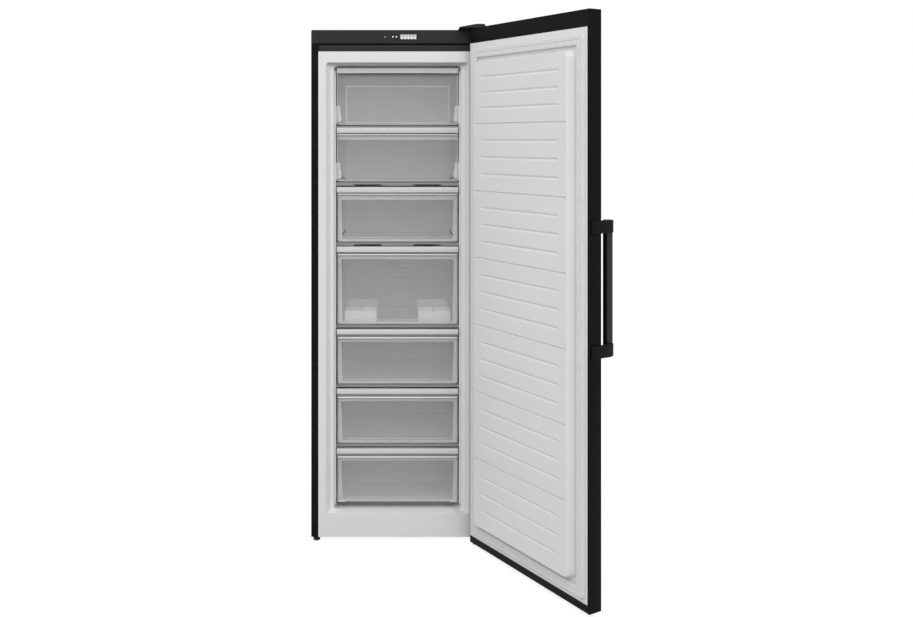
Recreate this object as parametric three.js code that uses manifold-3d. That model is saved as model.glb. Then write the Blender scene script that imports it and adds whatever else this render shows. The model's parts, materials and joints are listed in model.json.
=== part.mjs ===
// A tall upright freezer with a right-hinged door, two fold-down flaps and five drawers.
// Millimetres. X runs to the right, Y to the back and Z up. Sizes are set from the middle of the
// cabinet's front edge on the floor, and the finished group is moved so that its origin is the
// centre of the front left levelling foot, where it stands on the floor.
import * as THREE from "three";
import { mergeVertices } from "three/addons/utils/BufferGeometryUtils.js";
import Module from "manifold-3d";

const wasm = await Module();
wasm.setup();

// ---------------------------------------------------------------- driving sizes

// Fits
const fitGap = 0.3; // between pieces that touch
const runningGap = 0.3; // between a pin or button and its hole
const reach = 5; // how far a cutting tool passes through what it cuts
const sink = 0.5; // how far an added detail is sunk into what carries it
const weld = 1e-4; // corners closer than this are one corner
const roundSteps = 24; // sides of a round piece
const pinSteps = 16; // sides of a pin, a shaft or its bore
const cornerSteps = 6; // steps in a rounded corner

// Cabinet shell
const cabinetWidth = 595;
const cabinetDepth = 590;
const cabinetHeight = 1746;
const footHeight = 14; // the cabinet's height over the floor
const steelThickness = 0.8;
const sideFlangeWidth = 24.6; // steel turned in at the front
const rearFlangeWidth = 12; // steel turned in at the back
const topPanelThickness = 4;

// Control fascia and the bar under it
const fasciaHeight = 47.5;
const fasciaThickness = 2.5;
const fasciaDepth = 22;
const fasciaGroove = 3;
const crossbarHeight = 23.5;
const crossbarThickness = 1.2;
const displayWidth = 57;
const displayHeight = 18;
const displayOffset = 37.5; // right of the middle
const displayThickness = 2.2;
const displayCorner = 1;
const keyRadius = 4;
const keyOffset = -43;
const keyProud = 0.6;
const keyCollar = 1.5; // how far the key's collar reaches past its hole
const keyCollarThickness = 1.2;
const keyTravel = 1;
const plungerRadius = 2;
const boardMargin = 8; // from the key or the display to a stand-off
const boardHeight = 34;
const boardThickness = 1.6;
const boardSetback = 9; // behind the fascia's front face
const standoffRadius = 3;

// Liner
const linerThickness = 2;
const linerTopBand = 37.2; // white band over the mouth
const linerSideBand = 26.9; // white band beside the mouth
const linerApron = 80; // white apron under the mouth
const mouthDepth = 50; // the mouth narrows over this depth
const mouthSideTaper = 26.5;
const mouthTopTaper = 11.6;
const mouthFloorTaper = 3;
const backWallThickness = 75; // foam, steel and liner at the back
const insulation = 56; // foam between the machine space and the compartments

// Machine space at the bottom of the back
const machineHeight = 222;
const machineDepth = 238;

// Compartments, counted from the top: 1 and 2 are flaps, the rest are drawers
const flapCount = 2;
const drawerCount = 5;
const maxiDrawer = 4; // the compartment that is taller than the rest
const maxiExtra = 80.5;
const ceilingGap = 4.5; // over the top handle strip
const topFlapGap = 10; // from a front's lower edge to the strip below
const lowerFlapGap = 20;
const drawerGap = 18;
const lowestStripRise = 12.84; // lowest strip's top over the step in the liner's floor
const frontSideGap = 8.5; // from the compartment's side wall to a front
const frontThickness = 3;
const frontRimHeight = 3;
const frontRimDepth = 2;
const frontRimDrop = 6; // below the strip
const frontBorder = 10; // raised border of a drawer front
const frontBorderDepth = 1.2;

// Handle strips
const stripHeight = 19;
const stripOverhang = 0.5; // past the front at each side
const stripReach = 14; // how far it stands in front of the panel
const stripWall = 2.5;
const stripHook = 12; // how far it hooks down behind the panel

// Flap pivots
const pivotHeight = 12; // over the flap's lower edge
const pivotSetback = 8; // behind the flap's front face
const pivotPinRadius = 3;
const pivotPinLength = 9;
const flapEarThickness = 3;
const flapEarInset = 4; // from the flap's side edge
const flapEarRadius = 6;
const pivotBracketHeight = 54;
const pivotBracketDepth = 14;
const pivotBracketDrop = 8;

// Shelves and their ledges
const shelfThickness = 5;
const shelfDrop = 4; // under the lower edge of the front above it
const shelfSetback = 2; // behind the drawer fronts
const trimDepth = 6;
const slottedTrimHeight = 12;
const plainTrimHeight = 8;
const slottedShelves = [2, 3];
const untrimmedShelf = 1;
const slotLength = 96;
const slotSpacing = 208;
const slotHeight = 5;
const ledgeWidth = 7;
const ledgeHeight = 6;
const ledgeSetback = 10; // behind the shelf's front edge

// Drawers
const tubInset = 7; // from the front's side edge to the tub's wall
const tubWall = 2.5;
const tubCoverGap = 28; // from a drawer's back to the cover behind it
const tubBackGap = 6; // behind the lowest drawer, which is shorter
const tubWallDrop = 30; // the tub's rim lies this far under the strip

// Ice trays in the tall drawer
const iceTrayWidth = 112;
const iceTrayLength = 255;
const iceTrayHeight = 42;
const iceTrayInset = 16; // from the tub's side wall
const iceTraySetback = 18;
const iceTrayWall = 2;
const iceCellRows = 6;
const iceCellColumns = 2;
const iceCellDepth = 30;
const iceDividerDrop = 8; // dividers under the tray's rim

// Cold side: cover, evaporator and fan
const coverSideGap = 16.5; // from the compartment's side wall
const coverThickness = 2;
const coverDepth = 65;
const coverTopDrop = 46; // under the ceiling
const ventWidth = 90;
const ventSpacing = 203; // between the middles of a pair
const ventHeight = 6;
const ventDrop = 34; // under the strip of the same compartment
const evaporatorSideGap = 28; // from the cover's side
const evaporatorHeight = 300;
const evaporatorDepth = 46;
const evaporatorFins = 22;
const evaporatorFinThickness = 5.3;
const evaporatorCore = 14;
const evaporatorRise = 30;
const fanHeight = 880; // over the floor
const fanRadius = 45;
const fanHubRadius = 17;
const fanHubLength = 14;
const fanHubFloor = 3.5; // hub left in front of the shaft
const fanBlades = 5;
const fanBladeThickness = 2.5;
const fanBladeWidth = 30;
const fanBladePitch = 0.6; // radians
const fanShaftRadius = 3;
const fanMotorRadius = 21;
const fanMotorLength = 22;
const grilleSlots = 5;
const grilleMargin = 2; // grille's reach past the fan
const grilleSlotHeight = 8;

// Base, feet and rollers
const panThickness = 2;
const panLipHeight = 30;
const footRadius = 12;
const footPadHeight = 9;
const studRadius = 4;
const studLength = 26;
const collarRadius = 9;
const collarHeight = 18;
const footInset = 18.2; // foot's centre from the cabinet's side
const footSetback = 14;
const rollerRadius = 15;
const rollerWidth = 22;
const rollerInset = 35; // roller's middle from the cabinet's side
const rollerSetback = 26; // from the cabinet's back
const axleRadius = 3;
const rollerSideGap = 1;
const rollerWellGap = 4;
const axleEarThickness = 2;
const axleEarRadius = 8;
const glandRadius = 7;
const glandFlange = 3;
const glandLength = 14;
const glandBore = 3.5;
const glandInset = 107.5; // from the cabinet's side

// Compressor and the tray over it
const compressorRadius = 74;
const compressorHeight = 150;
const compressorBaseRadius = 59;
const compressorShoulder = 18; // height at which the pot has its full radius
const compressorCrownDrop = 26; // the full radius ends this far under the top
const compressorLidEdge = 58; // radius at which the top turns down
const compressorLidDrop = 6;
const compressorLidRadius = 26; // flat middle of the top
const compressorOffset = -110;
const compressorFootWidth = 176;
const compressorFootDepth = 116;
const compressorFootHeight = 8;
const drainTrayWidth = 190;
const drainTrayDepth = 130;
const drainTrayHeight = 26;
const drainTrayWall = 2;

// Condenser grid on the back
const condenserInset = 82.5; // from the cabinet's side
const condenserRuns = 13;
const condenserPitch = 88;
const condenserTube = 2.6; // radius
const condenserTubeSteps = 4; // steps in half of the tube's circle
const condenserBendSteps = 6;
const condenserRise = 60; // over the machine space
const condenserStandoff = 12; // tube's centre behind the back panel
const strapWidth = 14;
const strapThickness = 2;
const strapInset = 21; // from the end of a straight run
const clipDepth = 10;
const spacerWidth = 46;
const spacerHeight = 60;
const spacerDepth = 32;
const spacerWall = 3;
const spacerCorner = 6;
const spacerInset = 34; // from the cabinet's side
const spacerDrop = 130; // under the cabinet's top

// Door
const doorThickness = 48;
const doorGap = 10; // from the cabinet's front to the door's inner face
const doorBottomGap = 2; // door's lower edge over the cabinet's
const doorTopDrop = 0.5; // door's upper edge under the cabinet's
const doorOpenAngle = 120.8; // degrees from closed
const hingeInset = 15.9; // axis from the cabinet's side
const hingeForward = 41.5; // axis in front of the cabinet
const topCapHeight = 51;
const bottomCapHeight = 23.4;
const capThickness = 2.5;
const hingeBossRadius = 11;
const hingeBossHeight = 17;
const hingePinRadius = 5;
const hingePinLength = 14;
const doorLinerThickness = 2.5;
const plateauHeight = 30;
const plateauSideInset = 51; // plateau's foot from the door's side
const plateauSideSlope = 15;
const plateauBottomInset = 78; // plateau's foot from the door's lower edge
const plateauTopInset = 111.5; // plateau's foot from the door's upper edge
const plateauEndSlope = 10;
const doorSections = 7;
const topSectionHeight = 204;
const grooveDepth = 1.5;
const grooveHeight = 7;
const groovesPerSection = 3;
const shortGrooveInset = 30;
const sectionLineHeight = 4;
const gasketSideInset = 16;
const gasketWidth = 32;
const gasketBottomInset = 36;
const gasketTopInset = 71;
const gasketCorner = 12;
const gasketInnerCorner = 4;

// Handle
const handleLength = 399;
const handleBottom = 749; // over the floor
const barWidth = 22;
const barThickness = 18;
const barInset = 3; // from the door's free edge
const fingerGap = 32;
const barCorner = 4;
const bracketHeight = 38;
const bracketThickness = 6;
const bracketCover = 42; // how much of the door's edge it covers
const bracketRun = 6; // where it starts behind the door's inner face
const bracketCorner = 5;

// Hinges
const hingePlateThickness = 3;
const hingePlateCorner = 6;
const topPlateWidth = 66;
const topPlateBack = 56; // how far it reaches over the cabinet
const hingePlateNose = 11; // past the axis
const hingeLift = 0.6; // top plate over the cabinet
const hingeRecessDepth = 0.5; // sunken part of the top panel under the cover
const hingeRecessMargin = 1.5; // around the cover
const coverCapWidth = 88;
const coverCapHeight = 13.5;
const coverCapLow = 3; // its height at the thin end
const coverCapNose = 23; // past the axis
const coverCapBack = 64;
const coverCapWall = 2;
const coverCapTip = 6; // solid part of the thin end
const coverCapCrown = 29.3; // full height over this distance from the right
const coverCapCornerWidth = 6;
const coverCapCornerHeight = 8;
const lowerPlateWidth = 38;
const lowerPlateHeight = 37;
const lowerPlateDrop = 5; // under the cabinet's lower edge
const lowerPlateInset = 3.5; // from the cabinet's side
const shoulderRadius = 8;

// ---------------------------------------------------------------- places worked out from them

const halfWidth = cabinetWidth / 2;
const cabinetTop = footHeight + cabinetHeight;
const fasciaBottom = cabinetTop - fasciaHeight;
const crossbarTop = fasciaBottom - fasciaGroove;
const crossbarBottom = crossbarTop - crossbarHeight;
const flangeInner = halfWidth - sideFlangeWidth;
const linerTop = crossbarBottom - fitGap;
const mouth = {
  half: flangeInner - linerSideBand,
  bottom: footHeight + linerApron,
  top: linerTop - linerTopBand,
};
const room = {
  half: mouth.half - mouthSideTaper,
  bottom: mouth.bottom + mouthFloorTaper,
  top: mouth.top - mouthTopTaper,
  back: cabinetDepth - backWallThickness,
};
const frontWidth = (room.half - frontSideGap) * 2;
const stripWidth = frontWidth + stripOverhang * 2;
const tubWidth = frontWidth - tubInset * 2;
const coverWidth = (room.half - coverSideGap) * 2;
const evaporatorWidth = coverWidth - evaporatorSideGap * 2;
const shellInner = halfWidth - steelThickness - fitGap;
const panTop = footHeight + panThickness;
const machineTop = footHeight + machineHeight;
const machineFront = cabinetDepth - machineDepth;
const step = { top: machineTop + insulation, front: machineFront - insulation };
const frontY = mouthDepth;
const topPanelBottom = cabinetTop - topPanelThickness;
const coverFront = room.back - coverDepth;
const coverTop = room.top - coverTopDrop;
const fanY = room.back - fitGap - fanMotorLength - fitGap - fanHubLength / 2;
const door = {
  inner: -doorGap,
  outer: -doorGap - doorThickness,
  bottom: footHeight + doorBottomGap,
  top: cabinetTop - doorTopDrop,
};
const hinge = { x: halfWidth - hingeInset, y: -hingeForward };
const foot = { x: halfWidth - footInset, y: footSetback };

// Each compartment's strip, front and shelf, from the top down.
const compartmentCount = flapCount + drawerCount;
const lowestStripTop = step.top + lowestStripRise;
const compartments = [];
let stripTop = room.top - ceilingGap;
const plainPitch = (stripTop - lowestStripTop - maxiExtra) / (compartmentCount - 1);
for (let number = 1; number <= compartmentCount; number++) {
  const isLowest = number === compartmentCount;
  const plain = isLowest ? lowestStripTop - room.bottom : plainPitch;
  const pitch = plain + (number === maxiDrawer ? maxiExtra : 0);
  const isFlap = number <= flapCount;
  const flapGap = number === flapCount ? lowerFlapGap : topFlapGap;
  const gap = isFlap ? flapGap : drawerGap;
  const bottom = stripTop - pitch + gap;
  compartments.push({
    number,
    isFlap,
    stripTop,
    stripBottom: stripTop - stripHeight,
    bottom,
    shelfTop: bottom - shelfDrop,
    isLowest,
  });
  stripTop -= pitch;
}
const shelved = compartments.filter((each) => !each.isLowest);

// ---------------------------------------------------------------- shapes

const basis = (x, y, z) => new THREE.Matrix4().makeBasis(x, y, z);
const right = new THREE.Vector3(1, 0, 0);
const back = new THREE.Vector3(0, 1, 0);
const up = new THREE.Vector3(0, 0, 1);
// How an outline drawn flat is stood up so that it is extruded along X, along Y or along Z.
const standing = {
  x: basis(back, up, right),
  y: basis(right, up, back.clone().negate()),
  z: basis(right, back, up),
};

// A box whose front and back ends may differ. place(x, y, z) gives a corner from its signs.
function sixFaced(place) {
  const geometry = new THREE.BoxGeometry(2, 2, 2);
  const corners = geometry.attributes.position;
  for (let i = 0; i < corners.count; i++) {
    corners.setXYZ(i, ...place(corners.getX(i), corners.getY(i), corners.getZ(i)));
  }
  return geometry;
}

// A box from its span along each axis.
function block(...spans) {
  return sixFaced((...signs) => signs.map((sign, axis) => spans[axis][sign < 0 ? 0 : 1]));
}

// A box between two ends, each a half width with a bottom and a top.
function taperedBlock(y0, front, y1, rear) {
  return sixFaced((x, y, z) => {
    const end = y < 0 ? front : rear;
    return [x * end.half, y < 0 ? y0 : y1, z < 0 ? end.bottom : end.top];
  });
}

// An outline extruded along an axis from one place to another. Outlines are drawn in (x, y) for
// an extrusion along z, in (x, z) along y and in (y, z) along x.
function extrude(outline, axis, from, to) {
  const depth = to - from;
  const options = { depth, bevelEnabled: false, curveSegments: cornerSteps };
  const geometry = new THREE.ExtrudeGeometry(outline, options);
  geometry.translate(0, 0, axis === "y" ? -to : from);
  return geometry.applyMatrix4(standing[axis]);
}

function polygon(points) {
  return new THREE.Shape(points.map(([x, y]) => new THREE.Vector2(x, y)));
}

// A rectangle with round corners.
function roundRectangle([x0, x1], [y0, y1], radius) {
  const outline = new THREE.Shape();
  outline.moveTo(x0 + radius, y0);
  outline.lineTo(x1 - radius, y0);
  outline.absarc(x1 - radius, y0 + radius, radius, -Math.PI / 2, 0);
  outline.lineTo(x1, y1 - radius);
  outline.absarc(x1 - radius, y1 - radius, radius, 0, Math.PI / 2);
  outline.lineTo(x0 + radius, y1);
  outline.absarc(x0 + radius, y1 - radius, radius, Math.PI / 2, Math.PI);
  outline.lineTo(x0, y0 + radius);
  outline.absarc(x0 + radius, y0 + radius, radius, Math.PI, Math.PI * 1.5);
  return outline;
}

// A round bar along an axis; place holds the two other coordinates of its centre line.
function bar(axis, radius, from, to, place, sides = roundSteps) {
  const geometry = new THREE.CylinderGeometry(radius, radius, to - from, sides);
  const middle = (from + to) / 2;
  if (axis === "x") return geometry.rotateZ(-Math.PI / 2).translate(middle, place.y, place.z);
  if (axis === "y") return geometry.translate(place.x, middle, place.z);
  return geometry.rotateX(Math.PI / 2).translate(place.x, place.y, middle);
}

// A turned piece whose profile is a list of (radius, height), standing on z.
function turned(profile, sides = roundSteps) {
  const points = profile.map(([radius, height]) => new THREE.Vector2(radius, height));
  return new THREE.LatheGeometry(points, sides).rotateX(Math.PI / 2);
}

// The solid that a closed geometry bounds; a solid is passed through.
function toSolid(piece) {
  if (!piece.isBufferGeometry) return piece;
  const bare = piece.clone();
  bare.deleteAttribute("normal");
  bare.deleteAttribute("uv");
  const merged = mergeVertices(bare, weld);
  const mesh = new wasm.Mesh({
    numProp: 3,
    vertProperties: merged.attributes.position.array,
    triVerts: new Uint32Array(merged.index.array),
  });
  return new wasm.Manifold(mesh);
}

function toGeometry(solid) {
  const mesh = solid.getMesh();
  const geometry = new THREE.BufferGeometry();
  geometry.setAttribute("position", new THREE.BufferAttribute(mesh.vertProperties, 3));
  geometry.setIndex(new THREE.BufferAttribute(mesh.triVerts, 1));
  const facets = geometry.toNonIndexed();
  facets.computeVertexNormals();
  return facets;
}

const join = (...pieces) => pieces.map(toSolid).reduce((whole, piece) => whole.add(piece));
const cut = (base, ...tools) => tools.reduce((rest, tool) => rest.subtract(toSolid(tool)), toSolid(base));
const keep = (base, region) => toSolid(base).intersect(toSolid(region));
const mirrored = (piece) => toSolid(piece).mirror([1, 0, 0]);

// ---------------------------------------------------------------- finishes

function finish(color, roughness, metalness, opacity = 1) {
  const transparent = opacity < 1;
  return new THREE.MeshStandardMaterial({ color, roughness, metalness, opacity, transparent });
}

const blackSteel = finish(0x232425, 0.42, 0.35);
const blackPlastic = finish(0x1f2021, 0.5, 0);
const whitePlastic = finish(0xe4e4e6, 0.35, 0);
const stripPlastic = finish(0xc9cac8, 0.4, 0);
const clearPlastic = finish(0xa4a6a7, 0.15, 0, 0.55);
const trayPlastic = finish(0xe9ebec, 0.3, 0, 0.85);
const shelfPlastic = finish(0xb9bbbb, 0.35, 0);
const paleFoam = finish(0xe6dcae, 0.95, 0);
const zincSteel = finish(0x8d9092, 0.45, 0.8);
const bareAluminium = finish(0xb8babc, 0.4, 0.9);
const sealRubber = finish(0xd7d8da, 0.7, 0);
const displayPlastic = finish(0xdfe3e6, 0.2, 0, 0.8);
const boardGreen = finish(0x2f5a3c, 0.6, 0);

// ---------------------------------------------------------------- the cabinet's shell

function sidePanel() {
  const top = topPanelBottom - fitGap;
  const sheet = block([halfWidth - steelThickness, halfWidth], [0, cabinetDepth], [footHeight, top]);
  const flangeTop = fasciaBottom - fitGap;
  const frontFlange = block([flangeInner, halfWidth], [0, steelThickness], [footHeight, flangeTop]);
  const rearFlange = block(
    [halfWidth - rearFlangeWidth, halfWidth],
    [cabinetDepth - steelThickness, cabinetDepth],
    [footHeight, top],
  );
  const notchDepth = [-reach, fasciaDepth + fitGap];
  const fasciaNotch = block([0, halfWidth + reach], notchDepth, [flangeTop, top + reach]);
  return cut(join(sheet, frontFlange, rearFlange), fasciaNotch);
}

// The top has a shallow recess under the hinge cover.
function topPanel() {
  const along = [fasciaDepth + fitGap, cabinetDepth];
  const plate = block([-halfWidth, halfWidth], along, [topPanelBottom, cabinetTop]);
  const recess = block(
    [halfWidth - fitGap - coverCapWidth - hingeRecessMargin, halfWidth + reach],
    [0, coverCapBack + hingeRecessMargin],
    [cabinetTop - hingeRecessDepth, cabinetTop + reach],
  );
  return cut(plate, recess);
}

// The back sheet turns forward over the machine space and down in front of it.
function backPanel() {
  const half = halfWidth - rearFlangeWidth - fitGap;
  const sheet = block(
    [-half, half],
    [cabinetDepth - steelThickness, cabinetDepth],
    [machineTop, topPanelBottom - fitGap],
  );
  const ceiling = block(
    [-shellInner, shellInner],
    [machineFront, cabinetDepth - steelThickness - fitGap],
    [machineTop, machineTop + steelThickness],
  );
  const bridge = block(
    [-half, half],
    [cabinetDepth - steelThickness * 2 - fitGap * 2, cabinetDepth],
    [machineTop, machineTop + steelThickness],
  );
  const wall = block(
    [-shellInner, shellInner],
    [machineFront, machineFront + steelThickness],
    [panTop + fitGap, machineTop + steelThickness],
  );
  return join(sheet, ceiling, bridge, wall);
}

// ---------------------------------------------------------------- liner, foam and front frame

// The space inside the liner, grown outwards by an amount and open to the front.
function innerSpace(grow) {
  const ring = (ends) => ({ half: ends.half + grow, bottom: ends.bottom - grow, top: ends.top + grow });
  const across = [-room.half - grow, room.half + grow];
  const opening = taperedBlock(-reach, ring(mouth), 0, ring(mouth));
  const narrowing = taperedBlock(0, ring(mouth), mouthDepth, ring(room));
  const main = block(across, [mouthDepth, room.back + grow], [room.bottom - grow, room.top + grow]);
  const rise = block(
    [across[0] - reach, across[1] + reach],
    [step.front + grow, room.back + grow + reach],
    [room.bottom - grow - reach, step.top - grow],
  );
  return cut(join(opening, narrowing, main), rise);
}

// What carries a shelf at one side.
function shelfLedge({ shelfTop }) {
  const top = shelfTop - shelfThickness - fitGap;
  const start = frontY + shelfSetback + ledgeSetback;
  return block(
    [room.half - ledgeWidth, room.half + linerThickness / 2],
    [start, coverFront - ledgeSetback],
    [top - ledgeHeight, top],
  );
}

const pivotOf = ({ bottom }) => ({ y: frontY + pivotSetback, z: bottom + pivotHeight });
const bracketInner = frontWidth / 2 + runningGap * 2;
const pinEnd = frontWidth / 2 - flapEarInset + pivotPinLength;

function pivotBracket(compartment) {
  const pivot = pivotOf(compartment);
  return block(
    [bracketInner, room.half + linerThickness / 2],
    [pivot.y - pivotBracketDepth / 2, pivot.y + pivotBracketDepth / 2],
    [pivot.z - pivotBracketDrop, pivot.z + pivotBracketHeight],
  );
}

function pivotHole(compartment) {
  const radius = pivotPinRadius + runningGap;
  const end = pinEnd + runningGap;
  return bar("x", radius, bracketInner - reach, end, pivotOf(compartment), pinSteps);
}

function liner() {
  const half = flangeInner - fitGap;
  const flange = block([-half, half], [0, linerThickness], [footHeight, linerTop]);
  const behindFront = block([-halfWidth, halfWidth], [0, cabinetDepth], [footHeight, cabinetTop]);
  const shell = cut(join(flange, keep(innerSpace(linerThickness), behindFront)), innerSpace(0));
  const rightSide = [
    ...shelved.map(shelfLedge),
    ...compartments.filter((each) => each.isFlap).map(pivotBracket),
  ];
  const holes = compartments.filter((each) => each.isFlap).map(pivotHole);
  const fittings = join(shell, ...rightSide, ...rightSide.map(mirrored));
  return cut(fittings, ...holes, ...holes.map(mirrored));
}

function cabinetFoam() {
  const face = linerThickness + fitGap;
  const body = block(
    [-shellInner, shellInner],
    [face, cabinetDepth - steelThickness - fitGap],
    [panTop + fitGap, topPanelBottom - fitGap],
  );
  const machineSpace = block(
    [-halfWidth, halfWidth],
    [machineFront - fitGap, cabinetDepth + reach],
    [0, machineTop + steelThickness + fitGap],
  );
  const fasciaSpace = block(
    [-halfWidth, halfWidth],
    [-reach, fasciaDepth + fitGap],
    [crossbarTop + fitGap, cabinetTop],
  );
  const footCollar = bar("z", collarRadius + fitGap, 0, panTop + collarHeight + fitGap, foot);
  const footStud = bar("z", studRadius + fitGap, 0, footPadHeight + studLength + fitGap, foot);
  const feet = [footCollar, footStud, mirrored(footCollar), mirrored(footStud)];
  return cut(body, innerSpace(face), machineSpace, fasciaSpace, ...feet);
}

function frontCrossbar() {
  const half = flangeInner - fitGap;
  return block([-half, half], [0, crossbarThickness], [crossbarBottom, crossbarTop]);
}

// ---------------------------------------------------------------- controls

const controlHeight = cabinetTop - fasciaHeight / 2;
const keyPlace = { x: keyOffset, z: controlHeight };
const standoffPlaces = [
  { x: keyOffset - keyRadius - keyCollar - boardMargin, z: controlHeight },
  { x: displayOffset + displayWidth / 2 + boardMargin, z: controlHeight },
];

function displaySpan(margin) {
  return [
    [displayOffset - displayWidth / 2 - margin, displayOffset + displayWidth / 2 + margin],
    [controlHeight - displayHeight / 2 - margin, controlHeight + displayHeight / 2 + margin],
  ];
}

// A trough that is open to the back, with two stand-offs for the board.
function controlFascia() {
  const outer = block([-halfWidth, halfWidth], [0, fasciaDepth], [fasciaBottom, cabinetTop]);
  const hollow = block(
    [-halfWidth + fasciaThickness, halfWidth - fasciaThickness],
    [fasciaThickness, fasciaDepth + reach],
    [fasciaBottom + fasciaThickness, cabinetTop - fasciaThickness],
  );
  const [across, tall] = displaySpan(fitGap);
  const displayHole = block(across, [-reach, fasciaThickness + reach], tall);
  const keyHole = bar("y", keyRadius + runningGap, -reach, fasciaThickness + reach, keyPlace);
  const standoffs = standoffPlaces.map((place) =>
    bar("y", standoffRadius, fasciaThickness / 2, boardSetback - fitGap, place, pinSteps),
  );
  return join(cut(outer, hollow, displayHole, keyHole), ...standoffs);
}

function displayWindow() {
  const [across, tall] = displaySpan(0);
  return extrude(roundRectangle(across, tall, displayCorner), "y", 0, displayThickness);
}

function setKey() {
  const cap = bar("y", keyRadius, -keyProud, fasciaThickness + fitGap + keyCollarThickness / 2, keyPlace);
  const collarFrom = fasciaThickness + fitGap;
  const collar = bar("y", keyRadius + keyCollar, collarFrom, collarFrom + keyCollarThickness, keyPlace);
  return join(cap, collar);
}

// The board with the switch that the key presses and the lamp block behind the display.
function controlBoard() {
  const plate = block(
    [standoffPlaces[0].x - standoffRadius * 2, standoffPlaces[1].x + standoffRadius * 2],
    [boardSetback, boardSetback + boardThickness],
    [controlHeight - boardHeight / 2, controlHeight + boardHeight / 2],
  );
  const plungerFront = fasciaThickness + fitGap + keyCollarThickness + keyTravel + fitGap;
  const plungerEnd = boardSetback + sink;
  const switchPlunger = bar("y", plungerRadius, plungerFront, plungerEnd, keyPlace, pinSteps);
  const [across, tall] = displaySpan(-fitGap);
  const lamps = block(across, [displayThickness + fitGap, boardSetback + boardThickness / 2], tall);
  return join(plate, switchPlunger, lamps);
}

// ---------------------------------------------------------------- shelves and cold-side pieces

function shelf(compartment) {
  const half = room.half - fitGap;
  const { shelfTop, number } = compartment;
  const start = frontY + shelfSetback;
  const tall = [shelfTop - shelfThickness, shelfTop];
  const plate = block([-half, half], [start, coverFront - fitGap], tall);
  if (number === untrimmedShelf) return plate;
  const slotted = slottedShelves.includes(number);
  const trimHeight = slotted ? slottedTrimHeight : plainTrimHeight;
  const trim = block([-half, half], [start, start + trimDepth], [shelfTop - trimHeight, shelfTop]);
  if (!slotted) return join(plate, trim);
  const slots = [-1, 1].map((side) => {
    const middle = (side * slotSpacing) / 2;
    return block(
      [middle - slotLength / 2, middle + slotLength / 2],
      [start - reach, start + trimDepth + reach],
      [shelfTop - trimHeight - reach, shelfTop - trimHeight + slotHeight],
    );
  });
  return cut(join(plate, trim), ...slots);
}

// A shallow tray that faces the drawers and closes on the liner's back wall.
function evaporatorCover() {
  const half = coverWidth / 2;
  const bottom = step.top + fitGap;
  const rear = room.back - fitGap;
  const outer = block([-half, half], [coverFront, rear], [bottom, coverTop]);
  const hollow = block(
    [-half + coverThickness, half - coverThickness],
    [coverFront + coverThickness, rear + reach],
    [bottom + coverThickness, coverTop - coverThickness],
  );
  const through = [coverFront - reach, coverFront + coverThickness + reach];
  const vents = compartments
    .filter((each) => each.number > flapCount && !each.isLowest)
    .flatMap((each) =>
      [-1, 1].map((side) => {
        const middle = (side * ventSpacing) / 2;
        const across = [middle - ventWidth / 2, middle + ventWidth / 2];
        const top = each.stripTop - ventDrop;
        return block(across, through, [top - ventHeight, top]);
      }),
    );
  const grilleRadius = fanRadius + grilleMargin;
  const grillePitch = (grilleRadius * 2) / grilleSlots;
  const grille = Array.from({ length: grilleSlots }, (_, i) => {
    const drop = (i - (grilleSlots - 1) / 2) * grillePitch;
    const halfSlot = Math.sqrt(grilleRadius ** 2 - drop ** 2);
    const middle = fanHeight + drop;
    const tall = [middle - grilleSlotHeight / 2, middle + grilleSlotHeight / 2];
    return block([-halfSlot, halfSlot], through, tall);
  });
  return cut(outer, hollow, ...vents, ...grille);
}

// A core that holds a row of upright fins.
function evaporator() {
  const half = evaporatorWidth / 2;
  const rear = room.back - fitGap;
  const front = rear - evaporatorDepth;
  const coreFront = rear - (evaporatorDepth + evaporatorCore) / 2;
  const coreRear = coreFront + evaporatorCore;
  const pitch = evaporatorWidth / evaporatorFins;
  const bottom = step.top + evaporatorRise;
  const tall = [bottom, bottom + evaporatorHeight];
  const core = block([-half, half], [coreFront, coreRear], tall);
  const fins = Array.from({ length: evaporatorFins }, (_, i) => {
    const left = -half + pitch * i;
    return block([left, left + evaporatorFinThickness], [front, rear], tall);
  });
  return join(core, ...fins);
}

const fanPlace = { x: 0, z: fanHeight };
const fanFront = fanY - fanHubLength / 2;
const fanBoreFront = fanFront + fanHubFloor;

function fanRotor() {
  const rear = fanY + fanHubLength / 2;
  const hub = bar("y", fanHubRadius, fanFront, rear, fanPlace);
  const root = fanHubRadius / 2;
  const blades = Array.from({ length: fanBlades }, (_, i) => {
    const blade = new THREE.BoxGeometry(fanRadius - root, fanBladeThickness, fanBladeWidth);
    blade.translate((fanRadius + root) / 2, 0, 0);
    blade.rotateX(fanBladePitch);
    blade.rotateY((i * 2 * Math.PI) / fanBlades);
    return blade.translate(0, fanY, fanHeight);
  });
  const rim = bar("y", fanRadius, fanFront, rear, fanPlace);
  const swept = keep(join(...blades), rim);
  const boreRadius = fanShaftRadius + runningGap;
  const bore = bar("y", boreRadius, fanBoreFront, rear + reach, fanPlace, pinSteps);
  return cut(join(hub, swept), bore);
}

// The motor stands on the liner's back wall and its shaft carries the fan.
function fanMotor() {
  const rear = room.back - fitGap;
  const can = bar("y", fanMotorRadius, rear - fanMotorLength, rear, fanPlace);
  const shaftEnd = rear - fanMotorLength / 2;
  const shaft = bar("y", fanShaftRadius, fanBoreFront + runningGap, shaftEnd, fanPlace, pinSteps);
  return join(can, shaft);
}

// ---------------------------------------------------------------- flaps and drawers

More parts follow.
